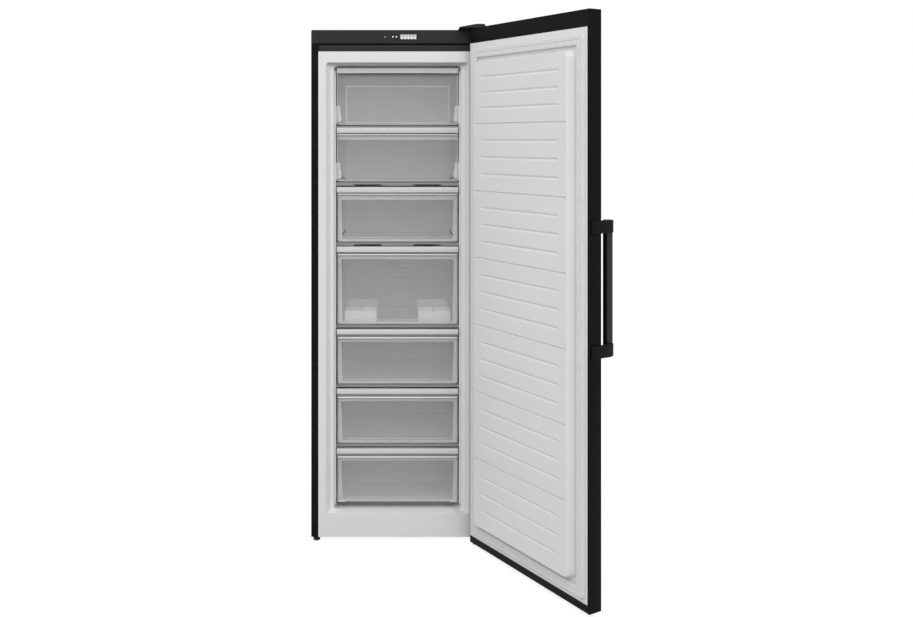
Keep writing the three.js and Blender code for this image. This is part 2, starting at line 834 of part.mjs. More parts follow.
// The strip's cross-section: a front lip to pull, a top, and a hook behind the panel.
function handleStrip({ stripTop: top, stripBottom: bottom }) {
  const lipFront = frontY - stripReach;
  const hookFront = frontY + frontThickness + fitGap;
  const outline = polygon([
    [lipFront, bottom],
    [lipFront + stripWall, bottom],
    [lipFront + stripWall, top - stripWall],
    [hookFront, top - stripWall],
    [hookFront, top - stripHook],
    [hookFront + stripWall, top - stripHook],
    [hookFront + stripWall, top],
    [lipFront, top],
  ]);
  return extrude(outline, "x", -stripWidth / 2, stripWidth / 2);
}

// The clear panel behind a strip, with the rim that shows under it.
function clearFront({ stripTop: top, stripBottom, bottom }) {
  const half = frontWidth / 2;
  const panelTop = top - stripWall - fitGap;
  const panel = block([-half, half], [frontY, frontY + frontThickness], [bottom, panelTop]);
  const rimTop = stripBottom - frontRimDrop;
  const rimSpan = [rimTop - frontRimHeight, rimTop];
  const rim = block([-half, half], [frontY - frontRimDepth, frontY + sink], rimSpan);
  return join(panel, rim);
}

function flapPanel(compartment) {
  const pivot = pivotOf(compartment);
  const half = frontWidth / 2;
  const earOuter = half - flapEarInset;
  const earPlate = block(
    [earOuter - flapEarThickness, earOuter],
    [frontY + frontThickness / 2, pivot.y],
    [pivot.z - flapEarRadius, pivot.z + flapEarRadius],
  );
  const earInner = earOuter - flapEarThickness;
  const earRound = bar("x", flapEarRadius, earInner, earOuter, pivot, pinSteps);
  const pin = bar("x", pivotPinRadius, earOuter - sink, pinEnd, pivot, pinSteps);
  const rightSide = [earPlate, earRound, pin];
  return join(clearFront(compartment), ...rightSide, ...rightSide.map(mirrored));
}

const tubBottom = ({ isLowest, shelfTop }) => (isLowest ? room.bottom : shelfTop) + fitGap;
const tubRear = ({ isLowest }) =>
  isLowest ? step.front - tubBackGap : coverFront - tubCoverGap;

function drawerTub(compartment) {
  const half = tubWidth / 2;
  const bottom = tubBottom(compartment);
  const rear = tubRear(compartment);
  const rim = compartment.stripBottom - tubWallDrop;
  const box = block([-half, half], [frontY + sink, rear], [bottom, rim]);
  const inside = block(
    [-half + tubWall, half - tubWall],
    [frontY + frontThickness, rear - tubWall],
    [bottom + tubWall, rim + reach],
  );
  const borderTop = compartment.stripBottom - frontRimDrop - frontRimHeight;
  const borderBlock = (inset, start, end) =>
    block(
      [-frontWidth / 2 + inset, frontWidth / 2 - inset],
      [start, end],
      [compartment.bottom + inset, borderTop - inset],
    );
  const border = borderBlock(0, frontY - frontBorderDepth, frontY + sink);
  const borderHole = borderBlock(frontBorder, frontY - frontBorderDepth - reach, frontY);
  const front = join(clearFront(compartment), border);
  return cut(join(box, front), inside, borderHole);
}

function iceTray(compartment) {
  const outer = tubWidth / 2 - tubWall - iceTrayInset;
  const floor = tubBottom(compartment) + tubWall + fitGap;
  const start = frontY + frontThickness + iceTraySetback;
  const top = floor + iceTrayHeight;
  const body = block([outer - iceTrayWidth, outer], [start, start + iceTrayLength], [floor, top]);
  const overDividers = block(
    [outer - iceTrayWidth + iceTrayWall, outer - iceTrayWall],
    [start + iceTrayWall, start + iceTrayLength - iceTrayWall],
    [top - iceDividerDrop, top + reach],
  );
  const cellWidth = (iceTrayWidth - iceTrayWall) / iceCellColumns;
  const cellLength = (iceTrayLength - iceTrayWall) / iceCellRows;
  const cells = [];
  for (let column = 0; column < iceCellColumns; column++) {
    for (let row = 0; row < iceCellRows; row++) {
      const x = outer - iceTrayWidth + iceTrayWall + column * cellWidth;
      const y = start + iceTrayWall + row * cellLength;
      const across = [x, x + cellWidth - iceTrayWall];
      const along = [y, y + cellLength - iceTrayWall];
      cells.push(block(across, along, [top - iceCellDepth, top + reach]));
    }
  }
  return cut(body, overDividers, ...cells);
}

// ---------------------------------------------------------------- base and machine space

const rollerPlace = { y: cabinetDepth - rollerSetback, z: rollerRadius };
const rollerMiddle = halfWidth - rollerInset;
const rollerSpan = (margin) => [
  rollerMiddle - rollerWidth / 2 - margin,
  rollerMiddle + rollerWidth / 2 + margin,
];

function basePan() {
  const front = linerThickness + fitGap;
  const rear = cabinetDepth - steelThickness - fitGap;
  const plate = block([-shellInner, shellInner], [front, rear], [footHeight, panTop]);
  const lipTop = panTop + panLipHeight;
  const lip = block([-shellInner, shellInner], [rear - panThickness, rear], [footHeight, lipTop]);
  const collar = bar("z", collarRadius, footHeight, panTop + collarHeight, foot);
  const earSpan = rollerSpan(rollerSideGap);
  const wellSpan = rollerSpan(rollerSideGap - fitGap);
  const well = block(
    wellSpan,
    [rollerPlace.y - rollerRadius - rollerWellGap, rear + reach],
    [0, lipTop + reach],
  );
  const axleSpan = [earSpan[0] - axleEarThickness, earSpan[1] + axleEarThickness];
  const ears = [
    [axleSpan[0], earSpan[0]],
    [earSpan[1], axleSpan[1]],
  ].flatMap((span) => [
    bar("x", axleEarRadius, ...span, rollerPlace),
    block(span, [rollerPlace.y - axleEarRadius, rear], [footHeight, rollerPlace.z + panThickness]),
  ]);
  const axle = bar("x", axleRadius, ...axleSpan, rollerPlace, pinSteps);
  const studHole = bar("z", studRadius + runningGap, 0, panTop + collarHeight + reach, foot);
  const gland = bar("y", glandRadius + fitGap, rear - panThickness - reach, rear + reach, glandPlace);
  const sides = (pieces) => [...pieces, ...pieces.map(mirrored)];
  const blank = cut(join(plate, lip, ...sides([collar])), ...sides([well, studHole]), gland);
  return join(blank, ...sides([...ears, axle]));
}

const glandPlace = { x: halfWidth - glandInset, z: panTop + panLipHeight / 2 };

// The rubber gland that the supply lead leaves by, seated in the pan's rear lip.
function cableGland() {
  const rear = cabinetDepth - steelThickness - fitGap;
  const flangeRear = rear - panThickness - fitGap;
  const flangeFront = flangeRear - glandFlange;
  const neck = bar("y", glandRadius, flangeFront, rear + glandLength, glandPlace);
  const flange = bar("y", glandRadius + glandFlange, flangeFront, flangeRear, glandPlace);
  const bore = bar("y", glandBore, flangeFront - reach, rear + glandLength + reach, glandPlace);
  return cut(join(neck, flange), bore);
}

function levellingFoot() {
  return turned([
    [0, 0],
    [footRadius, 0],
    [footRadius, footPadHeight],
    [studRadius, footPadHeight],
    [studRadius, footPadHeight + studLength],
    [0, footPadHeight + studLength],
  ]).translate(-foot.x, foot.y, 0);
}

function roller() {
  const wheel = bar("x", rollerRadius, ...rollerSpan(0), rollerPlace);
  const bore = bar("x", axleRadius + runningGap, ...rollerSpan(reach), rollerPlace, pinSteps);
  return cut(wheel, bore);
}

const compressorPlace = { x: compressorOffset, y: machineFront + machineDepth / 2 };

function compressor() {
  const footTop = panTop + fitGap + compressorFootHeight;
  const pot = turned([
    [0, 0],
    [compressorBaseRadius, 0],
    [compressorRadius, compressorShoulder],
    [compressorRadius, compressorHeight - compressorCrownDrop],
    [compressorLidEdge, compressorHeight - compressorLidDrop],
    [compressorLidRadius, compressorHeight],
    [0, compressorHeight],
  ]).translate(compressorPlace.x, compressorPlace.y, footTop - sink);
  const base = block(
    [compressorPlace.x - compressorFootWidth / 2, compressorPlace.x + compressorFootWidth / 2],
    [compressorPlace.y - compressorFootDepth / 2, compressorPlace.y + compressorFootDepth / 2],
    [panTop + fitGap, footTop],
  );
  return join(pot, base);
}

// The tray sits on the warm compressor, which dries the water that the defrost sends down.
function drainTray() {
  const floor = panTop + fitGap + compressorFootHeight - sink + compressorHeight + fitGap;
  const across = [compressorPlace.x - drainTrayWidth / 2, compressorPlace.x + drainTrayWidth / 2];
  const along = [compressorPlace.y - drainTrayDepth / 2, compressorPlace.y + drainTrayDepth / 2];
  const shrink = ([low, high]) => [low + drainTrayWall, high - drainTrayWall];
  const rim = floor + drainTrayHeight;
  const outer = block(across, along, [floor, rim]);
  const hollow = block(shrink(across), shrink(along), [floor + drainTrayWall, rim + reach]);
  return cut(outer, hollow);
}

// A path through chosen points that an extrusion follows point by point.
class StationPath extends THREE.Curve {
  constructor(stations) {
    super();
    this.stations = stations;
  }
  getPoint(t, target = new THREE.Vector3()) {
    const place = t * (this.stations.length - 1);
    const index = Math.min(Math.floor(place), this.stations.length - 2);
    return target.copy(this.stations[index]).lerp(this.stations[index + 1], place - index);
  }
  getPointAt(t, target) {
    return this.getPoint(t, target);
  }
  getTangentAt(t, target = new THREE.Vector3()) {
    const last = this.stations.length - 1;
    const index = Math.round(t * last);
    const before = this.stations[Math.max(index - 1, 0)];
    const after = this.stations[Math.min(index + 1, last)];
    return target.subVectors(after, before).normalize();
  }
}

// Level runs of tube joined by half-circle bends, held by two straps with clips to the back sheet.
function condenserCoil() {
  const y = cabinetDepth + condenserStandoff;
  const bendRadius = condenserPitch / 2;
  const halfRun = halfWidth - condenserInset - bendRadius;
  const strapMiddle = halfRun - strapInset;
  const bottom = machineTop + condenserRise;
  const stations = [];
  for (let run = 0; run < condenserRuns; run++) {
    const z = bottom + run * condenserPitch;
    const side = run % 2 ? -1 : 1;
    stations.push(new THREE.Vector3(-side * halfRun, y, z));
    if (run === condenserRuns - 1) {
      stations.push(new THREE.Vector3(side * halfRun, y, z));
      continue;
    }
    for (let bend = 0; bend < condenserBendSteps; bend++) {
      const angle = (bend / condenserBendSteps) * Math.PI;
      const x = side * (halfRun + bendRadius * Math.sin(angle));
      stations.push(new THREE.Vector3(x, y, z + bendRadius * (1 - Math.cos(angle))));
    }
  }
  const section = new THREE.Shape().absarc(0, 0, condenserTube, 0, Math.PI * 2);
  const tube = new THREE.ExtrudeGeometry(section, {
    steps: stations.length - 1,
    curveSegments: condenserTubeSteps,
    extrudePath: new StationPath(stations),
  });
  const top = bottom + (condenserRuns - 1) * condenserPitch;
  const straps = [-1, 1].flatMap((side) => {
    const middle = side * strapMiddle;
    const across = [middle - strapWidth / 2, middle + strapWidth / 2];
    const strap = block(across, [y, y + strapThickness], [bottom - strapWidth, top + strapWidth]);
    const clips = [bottom - strapWidth, top].map((z) =>
      block(across, [cabinetDepth + fitGap, y + strapThickness / 2], [z, z + clipDepth]),
    );
    return [strap, ...clips];
  });
  return join(tube, ...straps);
}

// A hollow peg that keeps the back of the cabinet off the wall.
function wallSpacer() {
  const outer = halfWidth - spacerInset;
  const top = cabinetTop - spacerDrop;
  const across = [outer - spacerWidth, outer];
  const tall = [top - spacerHeight, top];
  const start = cabinetDepth + fitGap;
  const shrink = ([low, high]) => [low + spacerWall, high - spacerWall];
  const end = start + spacerDepth;
  const body = extrude(roundRectangle(across, tall, spacerCorner), "y", start, end);
  const hollow = block(shrink(across), [start - reach, end - spacerWall], shrink(tall));
  return cut(body, hollow);
}

// ---------------------------------------------------------------- door, drawn closed

const doorHalf = halfWidth;
const doorShellInner = doorHalf - steelThickness - fitGap;
const doorFace = door.outer + steelThickness + fitGap;
const doorLinerTop = door.top - topCapHeight - fitGap;
const doorLinerBottom = door.bottom + bottomCapHeight + fitGap;

function doorSkin() {
  const outer = block([-doorHalf, doorHalf], [door.outer, door.inner], [door.bottom, door.top]);
  const hollow = block(
    [-doorHalf + steelThickness, doorHalf - steelThickness],
    [door.outer + steelThickness, door.inner + reach],
    [door.bottom - reach, door.top + reach],
  );
  return cut(outer, hollow);
}

// An end cap: a plate across the door's end, an apron on its inner face and the hinge boss.
function doorCap(end, inward, apronHeight) {
  const span = (height) => [end, end + inward * height].sort((a, b) => a - b);
  const half = doorShellInner;
  const plate = block([-half, half], [doorFace, door.inner], span(capThickness));
  const apron = block([-half, half], [door.inner - capThickness, door.inner], span(apronHeight));
  const boss = bar("z", hingeBossRadius, ...span(hingeBossHeight), hinge);
  const inside = block([-half, half], [doorFace, door.inner], span(apronHeight));
  const hole = bar(
    "z",
    hingePinRadius + runningGap,
    ...[end - inward * reach, end + inward * (hingePinLength + fitGap)].sort((a, b) => a - b),
    hinge,
  );
  return cut(join(plate, apron, keep(boss, inside)), hole);
}

// The raised middle of the door's lining, shrunk by an amount: it enters the cabinet's mouth.
const plateauFoot = (shrink) => ({
  half: doorHalf - plateauSideInset - shrink,
  bottom: door.bottom + plateauBottomInset + shrink,
  top: door.top - plateauTopInset - shrink,
});
const plateauCrown = (shrink) => ({
  half: plateauFoot(shrink).half - plateauSideSlope,
  bottom: plateauFoot(shrink).bottom + plateauEndSlope,
  top: plateauFoot(shrink).top - plateauEndSlope,
});

function plateau(shrink) {
  const top = door.inner + plateauHeight - shrink;
  return taperedBlock(door.inner, plateauFoot(shrink), top, plateauCrown(shrink));
}

// The hollow behind the plateau with its straight way in from the foam side.
function plateauCore(shrink) {
  const foot = plateauFoot(shrink);
  const neck = taperedBlock(door.inner - doorLinerThickness - reach, foot, door.inner, foot);
  return join(neck, plateau(shrink));
}

// Grooves pressed into the plateau: a long one between sections and short ones within each.
function doorGrooves() {
  const face = door.inner + plateauHeight;
  const crown = plateauCrown(0);
  const groove = (half, middle, height) =>
    block(
      [-half, half],
      [face - grooveDepth, face + reach],
      [middle - height / 2, middle + height / 2],
    );
  const lowerSection = (crown.top - topSectionHeight - crown.bottom) / (doorSections - 1);
  const grooves = [];
  let sectionTop = crown.top;
  for (let section = 0; section < doorSections; section++) {
    const sectionHeight = section ? lowerSection : topSectionHeight;
    const pitch = sectionHeight / (groovesPerSection + 1);
    for (let i = 1; i <= groovesPerSection; i++) {
      grooves.push(groove(crown.half - shortGrooveInset, sectionTop - i * pitch, grooveHeight));
    }
    sectionTop -= sectionHeight;
    if (section === doorSections - 1) break;
    grooves.push(groove(crown.half + reach, sectionTop, sectionLineHeight));
  }
  return grooves;
}

function doorLiner() {
  const half = doorShellInner;
  const plate = block(
    [-half, half],
    [door.inner - doorLinerThickness, door.inner],
    [doorLinerBottom, doorLinerTop],
  );
  return cut(join(plate, plateau(0)), plateauCore(doorLinerThickness), ...doorGrooves());
}

function doorFoam() {
  const rear = door.inner - doorLinerThickness - fitGap;
  const body = block(
    [-doorShellInner, doorShellInner],
    [doorFace, rear],
    [door.bottom + capThickness + fitGap, door.top - capThickness - fitGap],
  );
  const filling = plateauCore(doorLinerThickness + fitGap);
  const boss = (from, to) => bar("z", hingeBossRadius + fitGap, from, to, hinge);
  const bosses = [
    boss(door.bottom, door.bottom + hingeBossHeight + fitGap),
    boss(door.top - hingeBossHeight - fitGap, door.top),
  ];
  return cut(join(body, filling), ...bosses);
}

function doorGasket() {
  const outerHalf = doorHalf - gasketSideInset;
  const tall = [door.bottom + gasketBottomInset, door.top - gasketTopInset];
  const outline = roundRectangle([-outerHalf, outerHalf], tall, gasketCorner);
  const innerHalf = outerHalf - gasketWidth;
  const hole = roundRectangle(
    [-innerHalf, innerHalf],
    [tall[0] + gasketWidth, tall[1] - gasketWidth],
    gasketInnerCorner,
  );
  outline.holes.push(hole);
  return extrude(outline, "y", door.inner + fitGap, -fitGap);
}

const barOuterX = -doorHalf + barInset;
const barRear = door.outer - fingerGap;
const barFront = barRear - barThickness;

function handleBar() {
  const section = roundRectangle([barOuterX, barOuterX + barWidth], [barFront, barRear], barCorner);
  return extrude(section, "z", handleBottom, handleBottom + handleLength);
}

// A bracket lies on the door's free edge and turns in behind the bar's end.
function handleBracket(bottom) {
  const tall = [bottom, bottom + bracketHeight];
  const plateInner = -doorHalf - fitGap;
  const plateOuter = plateInner - bracketThickness;
  const rear = door.inner - bracketRun;
  const padRear = rear - bracketCover - reach;
  const plate = block([plateOuter, plateInner], [barFront, rear], tall);
  const pad = block([plateOuter + sink, barOuterX - fitGap], [barFront, padRear], tall);
  const outline = roundRectangle([barFront, rear], tall, bracketCorner);
  const roundEnds = extrude(outline, "x", plateOuter - reach, barOuterX + reach);
  return keep(join(plate, pad), roundEnds);
}

// ---------------------------------------------------------------- hinges

function topHingeBracket() {
  const bottom = cabinetTop + hingeLift;
  const plateRight = Math.min(hinge.x + hingePlateNose, halfWidth - coverCapWall - fitGap);
  const outline = roundRectangle(
    [plateRight - topPlateWidth, plateRight],
    [hinge.y - hingePlateNose, topPlateBack],
    hingePlateCorner,
  );
  const plate = extrude(outline, "z", bottom, bottom + hingePlateThickness);
  const pin = bar("z", hingePinRadius, door.top - hingePinLength, bottom + sink, hinge);
  return join(plate, pin);
}

// The cover over the top hinge: thin at its left end and full height over the pin.
function topHingeCover() {
  const bottom = cabinetTop + fitGap;
  const top = bottom + coverCapHeight;
  const x1 = halfWidth - fitGap;
  const x0 = x1 - coverCapWidth;
  const crown = x1 - coverCapCrown;
  const slope = (coverCapHeight - coverCapLow) / (crown - x0);
  const outline = (left, floor, wall) =>
    polygon([
      [left, floor],
      [x1 - wall, floor],
      [x1 - wall, top - coverCapCornerHeight - wall],
      [x1 - coverCapCornerWidth - wall, top - wall],
      [crown, top - wall],
      [left, bottom + coverCapLow + (left - x0) * slope - wall],
    ]);
  const along = [hinge.y - coverCapNose, coverCapBack];
  const outer = extrude(outline(x0, bottom, 0), "y", ...along);
  const hollow = extrude(
    outline(x0 + coverCapTip, bottom - reach, coverCapWall),
    "y",
    along[0] + coverCapWall,
    along[1] - coverCapWall,
  );
  return cut(outer, hollow);
}

function bottomHingeBracket() {
  const bottom = footHeight - lowerPlateDrop;
  const x1 = halfWidth - lowerPlateInset;
  const across = [x1 - lowerPlateWidth, x1];
  const rear = -fitGap;
  const tab = block(
    across,
    [hinge.y - hingePlateNose, rear],
    [bottom, bottom + hingePlateThickness],
  );
  const upright = block(
    across,
    [rear - hingePlateThickness, rear],
    [bottom, bottom + lowerPlateHeight],
  );
  const shoulder = bar("z", shoulderRadius, bottom, door.bottom - fitGap, hinge);
  const pin = bar("z", hingePinRadius, bottom, door.bottom + hingePinLength, hinge);
  return join(tab, upright, shoulder, pin);
}

// ---------------------------------------------------------------- assembly

const freezer = new THREE.Group();
freezer.name = "upright_freezer";
freezer.position.set(foot.x, -foot.y, 0);

function add(parent, name, piece, material) {
  const mesh = new THREE.Mesh(toGeometry(toSolid(piece)), material);
  mesh.name = name;
  parent.add(mesh);
}

const cabinet = new THREE.Group();
freezer.add(cabinet);
const rightPanel = sidePanel();
add(cabinet, "side_panel_right", rightPanel, blackSteel);
add(cabinet, "side_panel_left", mirrored(rightPanel), blackSteel);
add(cabinet, "top_panel", topPanel(), blackPlastic);
add(cabinet, "back_panel", backPanel(), zincSteel);
add(cabinet, "liner", liner(), whitePlastic);
add(cabinet, "cabinet_foam", cabinetFoam(), paleFoam);
add(cabinet, "front_crossbar", frontCrossbar(), blackSteel);
add(cabinet, "control_fascia", controlFascia(), blackPlastic);
add(cabinet, "display_window", displayWindow(), displayPlastic);
add(cabinet, "set_key", setKey(), blackPlastic);
add(cabinet, "control_board", controlBoard(), boardGreen);
for (const compartment of shelved) {
  add(cabinet, `shelf_${compartment.number}`, shelf(compartment), shelfPlastic);
}
add(cabinet, "evaporator_cover", evaporatorCover(), whitePlastic);
add(cabinet, "evaporator", evaporator(), bareAluminium);
add(cabinet, "fan_motor", fanMotor(), zincSteel);
add(cabinet, "fan_rotor", fanRotor(), blackPlastic);

const base = new THREE.Group();
freezer.add(base);
const rightRoller = roller();
const leftFoot = levellingFoot();
add(base, "base_pan", basePan(), zincSteel);
add(base, "cable_gland", cableGland(), blackPlastic);
add(base, "foot_left", leftFoot, blackPlastic);
add(base, "foot_right", mirrored(leftFoot), blackPlastic);
add(base, "roller_left", mirrored(rightRoller), blackPlastic);
add(base, "roller_right", rightRoller, blackPlastic);
add(base, "compressor", compressor(), blackSteel);
add(base, "drain_tray", drainTray(), blackPlastic);
add(base, "condenser_coil", condenserCoil(), blackSteel);
const rightSpacer = wallSpacer();
add(base, "wall_spacer_left", mirrored(rightSpacer), blackPlastic);
add(base, "wall_spacer_right", rightSpacer, blackPlastic);

const hinges = new THREE.Group();
freezer.add(hinges);
add(hinges, "top_hinge_bracket", topHingeBracket(), zincSteel);
add(hinges, "top_hinge_cover", topHingeCover(), blackPlastic);
add(hinges, "bottom_hinge_bracket", bottomHingeBracket(), blackSteel);

const storage = new THREE.Group();
freezer.add(storage);
for (const compartment of compartments) {
  const { number, isFlap } = compartment;
  if (isFlap) {
    add(storage, `flap_panel_${number}`, flapPanel(compartment), clearPlastic);
    add(storage, `flap_strip_${number}`, handleStrip(compartment), stripPlastic);
  } else {
    add(storage, `drawer_tub_${number}`, drawerTub(compartment), clearPlastic);
    add(storage, `drawer_strip_${number}`, handleStrip(compartment), stripPlastic);
  }
  if (number === maxiDrawer) {
    const rightTray = iceTray(compartment);
    add(storage, "ice_tray_right", rightTray, trayPlastic);
    add(storage, "ice_tray_left", mirrored(rightTray), trayPlastic);
  }
}

// The door's group turns about the hinge axis; its pieces are drawn as if it were closed.
const doorGroup = new THREE.Group();
doorGroup.position.set(hinge.x, hinge.y, 0);
doorGroup.rotation.z = THREE.MathUtils.degToRad(doorOpenAngle);
const closedDoor = new THREE.Group();
closedDoor.position.set(-hinge.x, -hinge.y, 0);
doorGroup.add(closedDoor);
freezer.add(doorGroup);
add(closedDoor, "door_skin", doorSkin(), blackSteel);
add(closedDoor, "door_top_cap", doorCap(door.top, -1, topCapHeight), blackPlastic);
add(closedDoor, "door_bottom_cap", doorCap(door.bottom, 1, bottomCapHeight), blackPlastic);
add(closedDoor, "door_liner", doorLiner(), whitePlastic);
add(closedDoor, "door_foam", doorFoam(), paleFoam);
add(closedDoor, "door_gasket", doorGasket(), sealRubber);
add(closedDoor, "handle_bar", handleBar(), blackSteel);
const topBracketBottom = handleBottom + handleLength - bracketHeight;
add(closedDoor, "handle_bracket_bottom", handleBracket(handleBottom), blackSteel);
add(closedDoor, "handle_bracket_top", handleBracket(topBracketBottom), blackSteel);

export default freezer;
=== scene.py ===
"""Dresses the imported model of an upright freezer: a black cabinet with a white lining, two clear
flaps over five clear drawers, and a right-hinged door that stands open. Metres, +Z up."""

import json
import math
from functools import cache

import bmesh
import bpy
import numpy as np
from bpy.props import FloatProperty, FloatVectorProperty, PointerProperty
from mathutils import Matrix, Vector


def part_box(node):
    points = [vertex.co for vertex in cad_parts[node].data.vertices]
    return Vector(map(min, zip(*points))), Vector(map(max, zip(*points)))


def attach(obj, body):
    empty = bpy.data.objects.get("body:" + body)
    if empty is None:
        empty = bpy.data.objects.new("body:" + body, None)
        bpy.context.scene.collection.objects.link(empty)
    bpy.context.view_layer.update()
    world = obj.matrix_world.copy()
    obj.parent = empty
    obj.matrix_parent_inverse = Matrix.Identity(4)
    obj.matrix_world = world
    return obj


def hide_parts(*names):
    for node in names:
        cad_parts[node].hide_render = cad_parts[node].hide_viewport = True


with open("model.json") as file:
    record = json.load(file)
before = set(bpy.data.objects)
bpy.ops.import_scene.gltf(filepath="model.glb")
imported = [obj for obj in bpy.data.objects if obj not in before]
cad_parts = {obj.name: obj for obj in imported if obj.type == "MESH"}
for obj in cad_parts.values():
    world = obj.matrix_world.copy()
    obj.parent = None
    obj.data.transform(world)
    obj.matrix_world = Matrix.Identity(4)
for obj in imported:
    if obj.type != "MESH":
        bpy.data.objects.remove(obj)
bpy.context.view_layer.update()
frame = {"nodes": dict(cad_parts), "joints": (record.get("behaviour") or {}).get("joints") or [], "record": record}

bl_info = {
    "name": "Upright freezer",
    "version": (1, 0, 0),
    "blender": (4, 5, 0),
    "location": "3D View > Sidebar > Freezer",
    "description": "Makes the visible pieces of an upright freezer around its packed model",
    "category": "Add Mesh",
}

MILLI = 0.001
ARC_STEPS = 5  # steps in a rounded corner
QUARTER = np.linspace(0, math.pi / 2, ARC_STEPS + 1)
ROUND_SIDES = 48  # sides of a round piece
SHARP = math.radians(38)  # edges that turn by more stay sharp
WELD = 1e-6
GAP = 0.0003  # play between neighbouring pieces
MIN_RADIUS = 0.0004
XZ = [0, 2]
HEIGHT_SHARE = "height_share"  # the attribute that says how high a point lies on its piece
RIGHT, LEFT = 1, -1
# how far under each strip its white rim lies; the rim is a painted highlight
RIM_DROPS = {2: 0.0035, 3: 0.0035, 4: 0.0065, 5: 0.009, 6: 0.009, 7: 0.009}  # rims under the strips
# both ends of the left hook of a front, as x and z from its lower left corner
HOOKS = {2: np.array([(0.013, 0.015), (0.029, 0.009)]), 3: np.array([(0.018, 0.025), (0.029, 0.042)])}


# ---------------------------------------------------------------- places taken from the frame


def box(node):
    """Lowest and highest corner of a node, as two rows."""
    return np.array([tuple(corner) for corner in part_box(node)])


def joint(name):
    """The record of one joint."""
    return next(each for each in frame["joints"] if each["name"] == name)


def flap_pivot(number):
    """The middle of a flap's pins."""
    return np.array(joint(f"flap_{number}_hinge")["pos_m"])


DOOR_JOINT = joint("door_hinge")
DOOR_AXIS = np.array(DOOR_JOINT["pos_m"])
DOOR_TURN = -math.radians(DOOR_JOINT["range_deg"][0])
MIDDLE = float(box("liner")[:, 0].mean())
FRONT = float(box("liner")[0, 1])


def turned_door(points, angle):
    """Points turned about the upright door axis: x and y mix by the angle's cosine and sine."""
    away = points - DOOR_AXIS
    cosine, sine = math.cos(angle), math.sin(angle)
    x = away[..., 0] * cosine - away[..., 1] * sine
    y = away[..., 0] * sine + away[..., 1] * cosine
    return np.stack([x, y, away[..., 2]], axis=-1) + DOOR_AXIS


def opened(points):
    """Points of a closed door carried to where the photographed door stands."""
    return turned_door(points, DOOR_TURN)


def closed_box(node):
    """Lowest and highest corner of a door node when the door is shut."""
    shut = turned_door(places_of(frame["nodes"][node].data), -DOOR_TURN)
    return np.array([shut.min(axis=0), shut.max(axis=0)])


def places_of(mesh):
    """A mesh's points as rows."""
    places = np.empty(len(mesh.vertices) * 3)
    mesh.vertices.foreach_get("co", places)
    return places.reshape(-1, 3)


# ---------------------------------------------------------------- values a user would change


def length(name, description, millimetres):
    """A length property with its default in millimetres."""
    return FloatProperty(
        name=name, description=description, default=millimetres * MILLI, min=0.0,
        unit="LENGTH", precision=4,
    )


def colour(name, description, *default):
    """A colour property."""
    return FloatVectorProperty(
        name=name, description=description, default=default, size=3, subtype="COLOR", min=0.0, max=1.0
    )


class FreezerSizes(bpy.types.PropertyGroup):
    """Sizes of details that the solids leave plain."""

    sheet_bend: length("Sheet bend", "Outer radius of the bends in the steel sheet", 2.5)
    sheet_thickness: length("Sheet thickness", "Thickness of the steel sheet", 0.8)
    mouth_corner: length("Mouth corner", "Radius of the corners of the lining's mouth", 9)
    room_corner: length("Room corner", "Radius of the corners inside the lining", 14)
    side_band: length("Side band", "White band beside the mouth", 26.6)
    top_band: length("Top band", "White band over the mouth", 37.2)
    apron: length("Apron", "White band under the mouth", 80)
    mouth_depth: length("Mouth depth", "Depth over which the mouth narrows", 50)
    lining: length("Lining", "Thickness of the white lining", 2)
    lip_round: length("Lip rounding", "Radius of the pull strip's front edge", 4)
    strip_wall: length("Strip wall", "Thickness of the pull strip", 2.5)
    strip_hook: length("Strip hook", "How far the strip hooks down behind the panel", 12)
    front_corner: length("Front corner", "Radius of the lower corners of a clear front", 8)
    front_border: length("Front border", "Width of the raised border of a drawer's front", 10)
    border_rise: length("Border rise", "How far the border stands out", 1.2)
    tub_wall: length("Tub wall", "Thickness of a drawer's walls", 2.5)
    tub_corner: length("Tub corner", "Radius of a drawer's lower corners", 14)
    plateau_rise: length("Plateau rise", "How far the door's lining stands out", 30)
    plateau_corner: length("Plateau corner", "Radius of the raised part's corners", 26)
    coil_tube: length("Coil tube", "Radius of the tube of the grid on the back", 2.6)


class FreezerColours(bpy.types.PropertyGroup):
    """Colours of the finishes."""

    black_paint: colour("Black paint", "Satin paint of the steel sheet", 0.005, 0.005, 0.0052)
    black_moulding: colour("Black moulding", "Black plastic pieces", 0.0085, 0.0085, 0.009)
    white_moulding: colour("White moulding", "Lining of the cabinet and the door", 0.69, 0.69, 0.70)
    strip_grey: colour("Strip grey", "Pull strips", 0.60, 0.61, 0.595)
    shelf_grey: colour("Shelf grey", "Shelves and their trims", 0.25, 0.252, 0.252)
    clear_grey: colour("Clear grey", "Clear fronts and tubs", 0.70, 0.705, 0.715)
    frame_grey: colour("Frame grey", "Frames behind the clear fronts", 0.74, 0.745, 0.75)
    # near-black: painted shade in the gaps round the drawer fronts and under the strips, and the colour of the
    # small hooks
    edge_grey: colour("Edge grey", "Cut edges of the clear pieces", 0.012, 0.012, 0.013)
    tray_white: colour("Tray white", "Ice trays", 0.80, 0.81, 0.82)
    seal_white: colour("Seal white", "Door seal", 0.68, 0.68, 0.69)
    zinc: colour("Zinc", "Zinc-coated sheet", 0.42, 0.43, 0.44)
    aluminium: colour("Aluminium", "Evaporator", 0.60, 0.61, 0.62)
    foam: colour("Foam", "Insulation", 0.78, 0.68, 0.42)
    board: colour("Board", "Circuit board", 0.02, 0.10, 0.04)
    display: colour("Display", "Segments of the display", 0.50, 0.51, 0.52)
    floor: colour("Floor", "Studio floor", 0.80, 0.80, 0.80)


def sizes():
    """The scene's sizes."""
    return bpy.context.scene.freezer_sizes


def colours():
    """The scene's colours."""
    return bpy.context.scene.freezer_colours


# ---------------------------------------------------------------- shader maths


